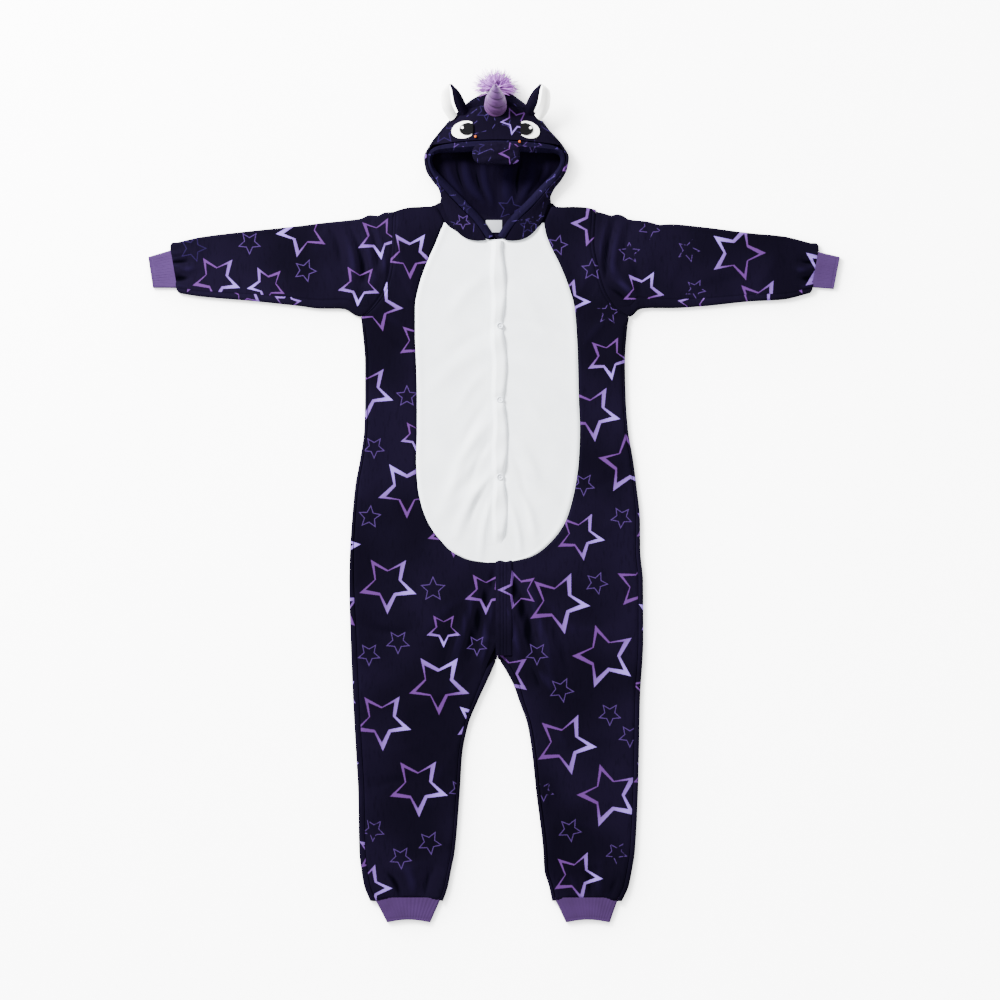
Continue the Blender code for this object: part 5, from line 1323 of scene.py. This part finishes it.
for ring in (rows[0], rows[-1]):
    middle = bm.verts.new(sum((vert.co for vert in ring), Vector()) / len(ring))
    for j in range(len(angle)):
        bm.faces.new((ring[j], ring[(j + 1) % len(angle)], middle))
bmesh.ops.recalc_face_normals(bm, faces=bm.faces)
bm.to_mesh(mesh)
bm.free()
# The groove's painted shade: strongest on the groove's line and fading over GROOVE_SHADE turns
depth = np.exp(-((wound / GROOVE_SHADE) ** 2)) * begun
mesh.attributes.new("groove", "FLOAT", "POINT").data.foreach_set("value", depth.ravel().tolist() + [0.0, 0.0])
mesh.shade_smooth()
horn = bpy.data.objects.new("horn_cone", mesh)
bpy.context.scene.collection.objects.link(horn)

# Satin-faced plush: a soft sheen, darker towards its foot, with painted shade in the groove
material, tree, shader = new_material("lilac_satin_plush", 0.6, 0.08, 0.3, "#e3cdf2", 0.12)
place = add_node(tree, "TexCoord", {}, "Object")
height = add_node(tree, "SeparateXYZ", {0: place}, 1)
lie = add_node(tree, "MapRange", {0: height, 1: 0.688, 2: 0.735})
tone = add_node(tree, "Mix", {"data_type": "RGBA", 0: lie, 6: linear("#3c2046"), 7: linear("#563967")}, 2)
# Painted shade in the groove, read from its groove attribute
groove_painted_shade = add_node(tree, "Attribute", {"attribute_name": "groove"}, "Fac")
shaded = add_node(tree, "Mix", {"data_type": "RGBA", 0: groove_painted_shade, 6: tone, 7: linear("#2b1733")}, 2)
tree.links.new(shaded, shader.inputs["Base Color"])
raise_grain(tree, shader, 900.0, 0.2, 0.0005)
horn.data.materials.append(material)
take_place(horn, "horn", "horn_plush")


# ---------------------------------------------------------------------------
# The tuft: long-pile faux fur on a small backing at the crown. Fine lilac
# hairs fan out and bend over a little at their tips.

TUFT_CENTRE = np.array([CENTRE - 2.5, 743.5, 26.5])
CORE_RADII = np.array([7.5, 4.0, 5.0])  # the backing's pad, in the middle of the hairs
HAIRS = 620
HAIR_WIDTH, HAIR_LENGTH = 2.9, 39
HAIR_STEPS = (0.0, 0.35, 0.7, 1.0)  # a hair is a three-sided rod with a ring at each
LOWEST_HAIR = 2.0  # above the floor, where hairs bend to lie flat

spin = np.random.default_rng(7)
mesh = bpy.data.meshes.new("tuft_hairs")
points, faces, tones = [], [], []
for _ in range(HAIRS):
    fan, tilt = math.radians(spin.uniform(-18, 198)), spin.normal(0, 0.42)
    way = np.array([math.cos(fan) * math.cos(tilt), math.sin(fan) * math.cos(tilt), math.sin(tilt)])
    root = np.array([0, -9, -2]) + spin.uniform(-1, 1, 3) * (9, 3, 5) + way * 3
    length = spin.uniform(0.62, 1.0) * HAIR_LENGTH * (1 - 0.12 * math.sin(fan))
    length *= 1 - 0.35 * abs(math.sin(tilt))
    curl = spin.normal(0, 2.6, 3) - (0, 0, 1.5)
    side = np.cross(way, (0.31, 0.2, 0.93))
    side /= np.linalg.norm(side)
    other = np.cross(way, side)
    first = len(points)
    tone = spin.choice((0.0, 0.15, 0.4, 0.75))
    for step in HAIR_STEPS:
        middle = root + way * length * step + curl * step**2
        middle[2] = max(middle[2], LOWEST_HAIR - TUFT_CENTRE[2])
        wide = HAIR_WIDTH * (1 - 0.8 * step) / 2
        for turn in (0, 2.094, 4.189):
            points.append(TUFT_CENTRE + middle + (side * math.cos(turn) + other * math.sin(turn)) * wide)
            tones.append(tone + 0.3 * step)
    for low in range(first, len(points) - 3, 3):
        faces += [(low + j, low + k, low + 3 + k, low + 3 + j) for j, k in ((0, 1), (1, 2), (2, 0))]
    faces += [(first + 2, first + 1, first), (first + 9, first + 10, first + 11)]
mesh.from_pydata((np.array(points) * MM).tolist(), [], faces)
mesh.attributes.new("tone", "FLOAT", "POINT").data.foreach_set("value", tones)
bm = bmesh.new()
bm.from_mesh(mesh)
bmesh.ops.recalc_face_normals(bm, faces=bm.faces)
for vert in bmesh.ops.create_icosphere(bm, subdivisions=3, radius=1.0)["verts"]:
    vert.co = Vector((np.array(vert.co) * CORE_RADII + TUFT_CENTRE + (0, -10, -2)) * MM)
bm.to_mesh(mesh)
bm.free()
mesh.shade_smooth()
tuft = bpy.data.objects.new("tuft_hairs", mesh)
bpy.context.scene.collection.objects.link(tuft)
# Long acrylic pile: a slight gloss, each strand paler towards its tip
material, tree, shader = new_material("lilac_long_pile", 0.55, 0.05, 0.3, "#f0def8", 0.15)
strand = add_node(tree, "Attribute", {"attribute_name": "tone"}, "Fac")
two_tone(tree, shader, "#4c2a55", "#c278dd", strand)
tuft.data.materials.append(material)
take_place(tuft, "mane_tuft", "long_pile")


# ---------------------------------------------------------------------------
# The face: white felt eyes with black felt pupils sewn flat on the brow, a
# soft stuffed muzzle of the fleece on the brim, and two resin nostril beads.

FELT_WALL, DOT_WALL = 1.6, 0.4
LAYER_GAP = 0.4
HIGHLIGHT_RADIUS = 2.5
MUZZLE_PLACE, MUZZLE_RADII = (CENTRE - 2.5, 616.5), (42.5, 20.5, 9)
MUZZLE_SEAT, MUZZLE_UNDER = 5.1, -3.5  # above the brow's highest point, and where its flat underside is
BEAD_SIZE, BEAD_DROP = 0.85, 0.0032  # share of its solid's width, and metres down the face
MUZZLE_STARS = ((32, 615, 31, -36, "purple"), (-38, 628, 16, 10, "faint"))
# The eyes and pupils: middle, radii, turn, where the nose side is cut straight, and the highlight's middle
FELTS = {
    "eye": {
        "left": ((-60.2, 659.4), (22.5, 15.4), 14, -45.6, None),
        "right": ((55.5, 659.4), (20.8, 14.9), -20, 43.2, None),
    },
    "pupil": {
        "left": ((-54.0, 660.6), (14.5, 11.2), 8, -43.7, (-63.3, 663.2)),
        "right": ((50.0, 660.4), (14.0, 11.2), -8, 41.2, (59.4, 663.0)),
    },
}


def felt_disc(name, middle, radii, turn, cut, raised, wall, rings, stitch, material):
    """A felt oval on the face panel's own form, its rim drawn down by the stitches: (piece, cut area)."""
    ring = np.array(rings)[:, None]
    angle = np.linspace(0, 2 * math.pi, 57)[:-1]
    dx, dy = ring * radii[0] * np.cos(angle), ring * radii[1] * np.sin(angle)
    x = middle[0] + dx * math.cos(turn) - dy * math.sin(turn)
    if cut:
        nearer = np.minimum if middle[0] < 0 else np.maximum
        x = nearer(x, cut + (x - cut) * 0.06)
    x = CENTRE + x
    y = middle[1] + dx * math.sin(turn) + dy * math.cos(turn)
    z = face_top(x, y) + raised - stitch * np.exp(-((1 - ring) / 0.08))
    piece = shell(name, np.stack([x, y, z], -1), wall, material, closed=True, towards=(0, 0, 1), cap=True)
    rim_x, rim_y = x[-1] * MM, y[-1] * MM
    return piece, abs(rim_x @ np.roll(rim_y, -1) - rim_y @ np.roll(rim_x, -1)) / 2


black_felt, tree, shader = new_material("black_felt", 0.9, 0.02, 0.5, "#ffffff", 0.05, "#070709")
for part, node, material, slot, raised in (
    ("eye", "eye_white", felt, "white_felt", LAYER_GAP),
    ("pupil", "pupil", black_felt, "black_felt", 2 * LAYER_GAP + FELT_WALL),
):
    for side, (middle, radii, turn, cut, highlight) in FELTS[part].items():
        turn, raised_top = math.radians(turn), raised + FELT_WALL
        rings = (0.25, 0.45, 0.65, 0.8, 0.9, 0.95, 1.0)
        name = f"{part}_felt_{side}"
        piece, area = felt_disc(name, middle, radii, turn, cut, raised_top, FELT_WALL, rings, 0.5, material)
        if highlight:
            # A stitched white dot
            dot_radii, rings = (HIGHLIGHT_RADIUS, HIGHLIGHT_RADIUS), (0.2, 0.6, 0.9, 1.0)
            dot, _ = felt_disc(
                "dot", highlight, dot_radii, 0, None, raised_top + 0.3, DOT_WALL, rings, 0, felt
            )
            bpy.ops.object.select_all(action="DESELECT")
            dot.select_set(True)
            piece.select_set(True)
            bpy.context.view_layer.objects.active = piece
            bpy.ops.object.join()
        carrier = "face_panel" if part == "eye" else f"eye_felt_{side}"
        flat = (2 * radii[0] * MM, 2 * radii[1] * MM)
        take_place(piece, f"{node}_{side}", slot, flat=flat, area=area, held="laid", rests_on=[carrier])

bpy.ops.mesh.primitive_ico_sphere_add(subdivisions=6, radius=1.0)
snout = bpy.context.object
snout.name = "muzzle"
x, y, z = np.array([vert.co for vert in snout.data.vertices]).T
reach, around = np.hypot(x, y), np.arctan2(y, x)
square = 0.8 - 0.35 * (0.5 + 0.5 * np.sin(around * -1 + 0.6))  # squarer towards the lower right
wide = reach * np.sign(np.cos(around)) * np.abs(np.cos(around)) ** square
deep = reach * np.sign(np.sin(around)) * np.abs(np.sin(around)) ** square
lumps = 1 + 0.12 * np.sin(5 * wide + 2) + 0.05 * np.sin(9 * deep - 3 * wide)
seat = float(face_top(CENTRE + np.array([-20.0, 0, 20]), np.full(3, BRIM_Y)).max()) + MUZZLE_SEAT
xs, ys = MUZZLE_PLACE[0] + MUZZLE_RADII[0] * wide, MUZZLE_PLACE[1] + MUZZLE_RADII[1] * deep
zs = seat + np.maximum(MUZZLE_UNDER, MUZZLE_RADII[2] * z * lumps)
for vert, point in zip(snout.data.vertices, np.stack([xs, ys, zs], -1)):
    vert.co = point * MM
snout.data.shade_smooth()
snout.data.materials.append(printed_fleece("star_fleece_muzzle", MUZZLE_STARS, flecks=0.3))
take_place(snout, "snout", "printed_fleece")

# Cast resin: smooth and bright, with a small highlight
material, tree, shader = new_material("orange_resin_bead", 0.35, specular=0.3, colour="#a04600")
for index in (1, 2):
    low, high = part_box(f"bead_{index}")
    radius, place = (high.x - low.x) / 2 * BEAD_SIZE, (low + high) / 2 + Vector((0, -BEAD_DROP, 0))
    bpy.ops.mesh.primitive_uv_sphere_add(segments=32, ring_count=20, radius=radius, location=place)
    bead = bpy.context.object
    bead.name = f"face_bead_{index}"
    bpy.ops.object.transform_apply(location=True, rotation=True, scale=True)
    bead.data.shade_smooth()
    bead.data.materials.append(material)
    take_place(bead, f"bead_{index}", "bead_plastic")


# ---------------------------------------------------------------------------
# The neck label: a folded tab of woven polyester, left blank, with its ends
# caught into the neck seam.

LABEL_EDGE = 0.0005  # metres

low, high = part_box("neck_label")
bpy.ops.mesh.primitive_cube_add(size=1.0, location=(low + high) / 2)
label = bpy.context.object
label.name = "woven_tab"
label.scale = high - low
bpy.ops.object.transform_apply(location=True, rotation=True, scale=True)
bevel = label.modifiers.new("Soft edge", "BEVEL")
bevel.width, bevel.segments = LABEL_EDGE, 3
bpy.ops.object.modifier_apply(modifier="Soft edge")
label.data.shade_smooth()
material, tree, shader = new_material("woven_polyester_label", 0.6, colour="#8f9198")
weave = add_node(tree, "TexNoise", {"Scale": 1200.0})
bump = add_node(tree, "Bump", {"Strength": 0.15, "Distance": 0.0003, "Height": weave})
tree.links.new(bump, shader.inputs["Normal"])
label.data.materials.append(material)
cut = {"flat": (0.029, 0.023), "held": "laid", "rests_on": ["back_panel_left", "back_panel_right"]}
take_place(label, "neck_label", "woven_label", **cut)
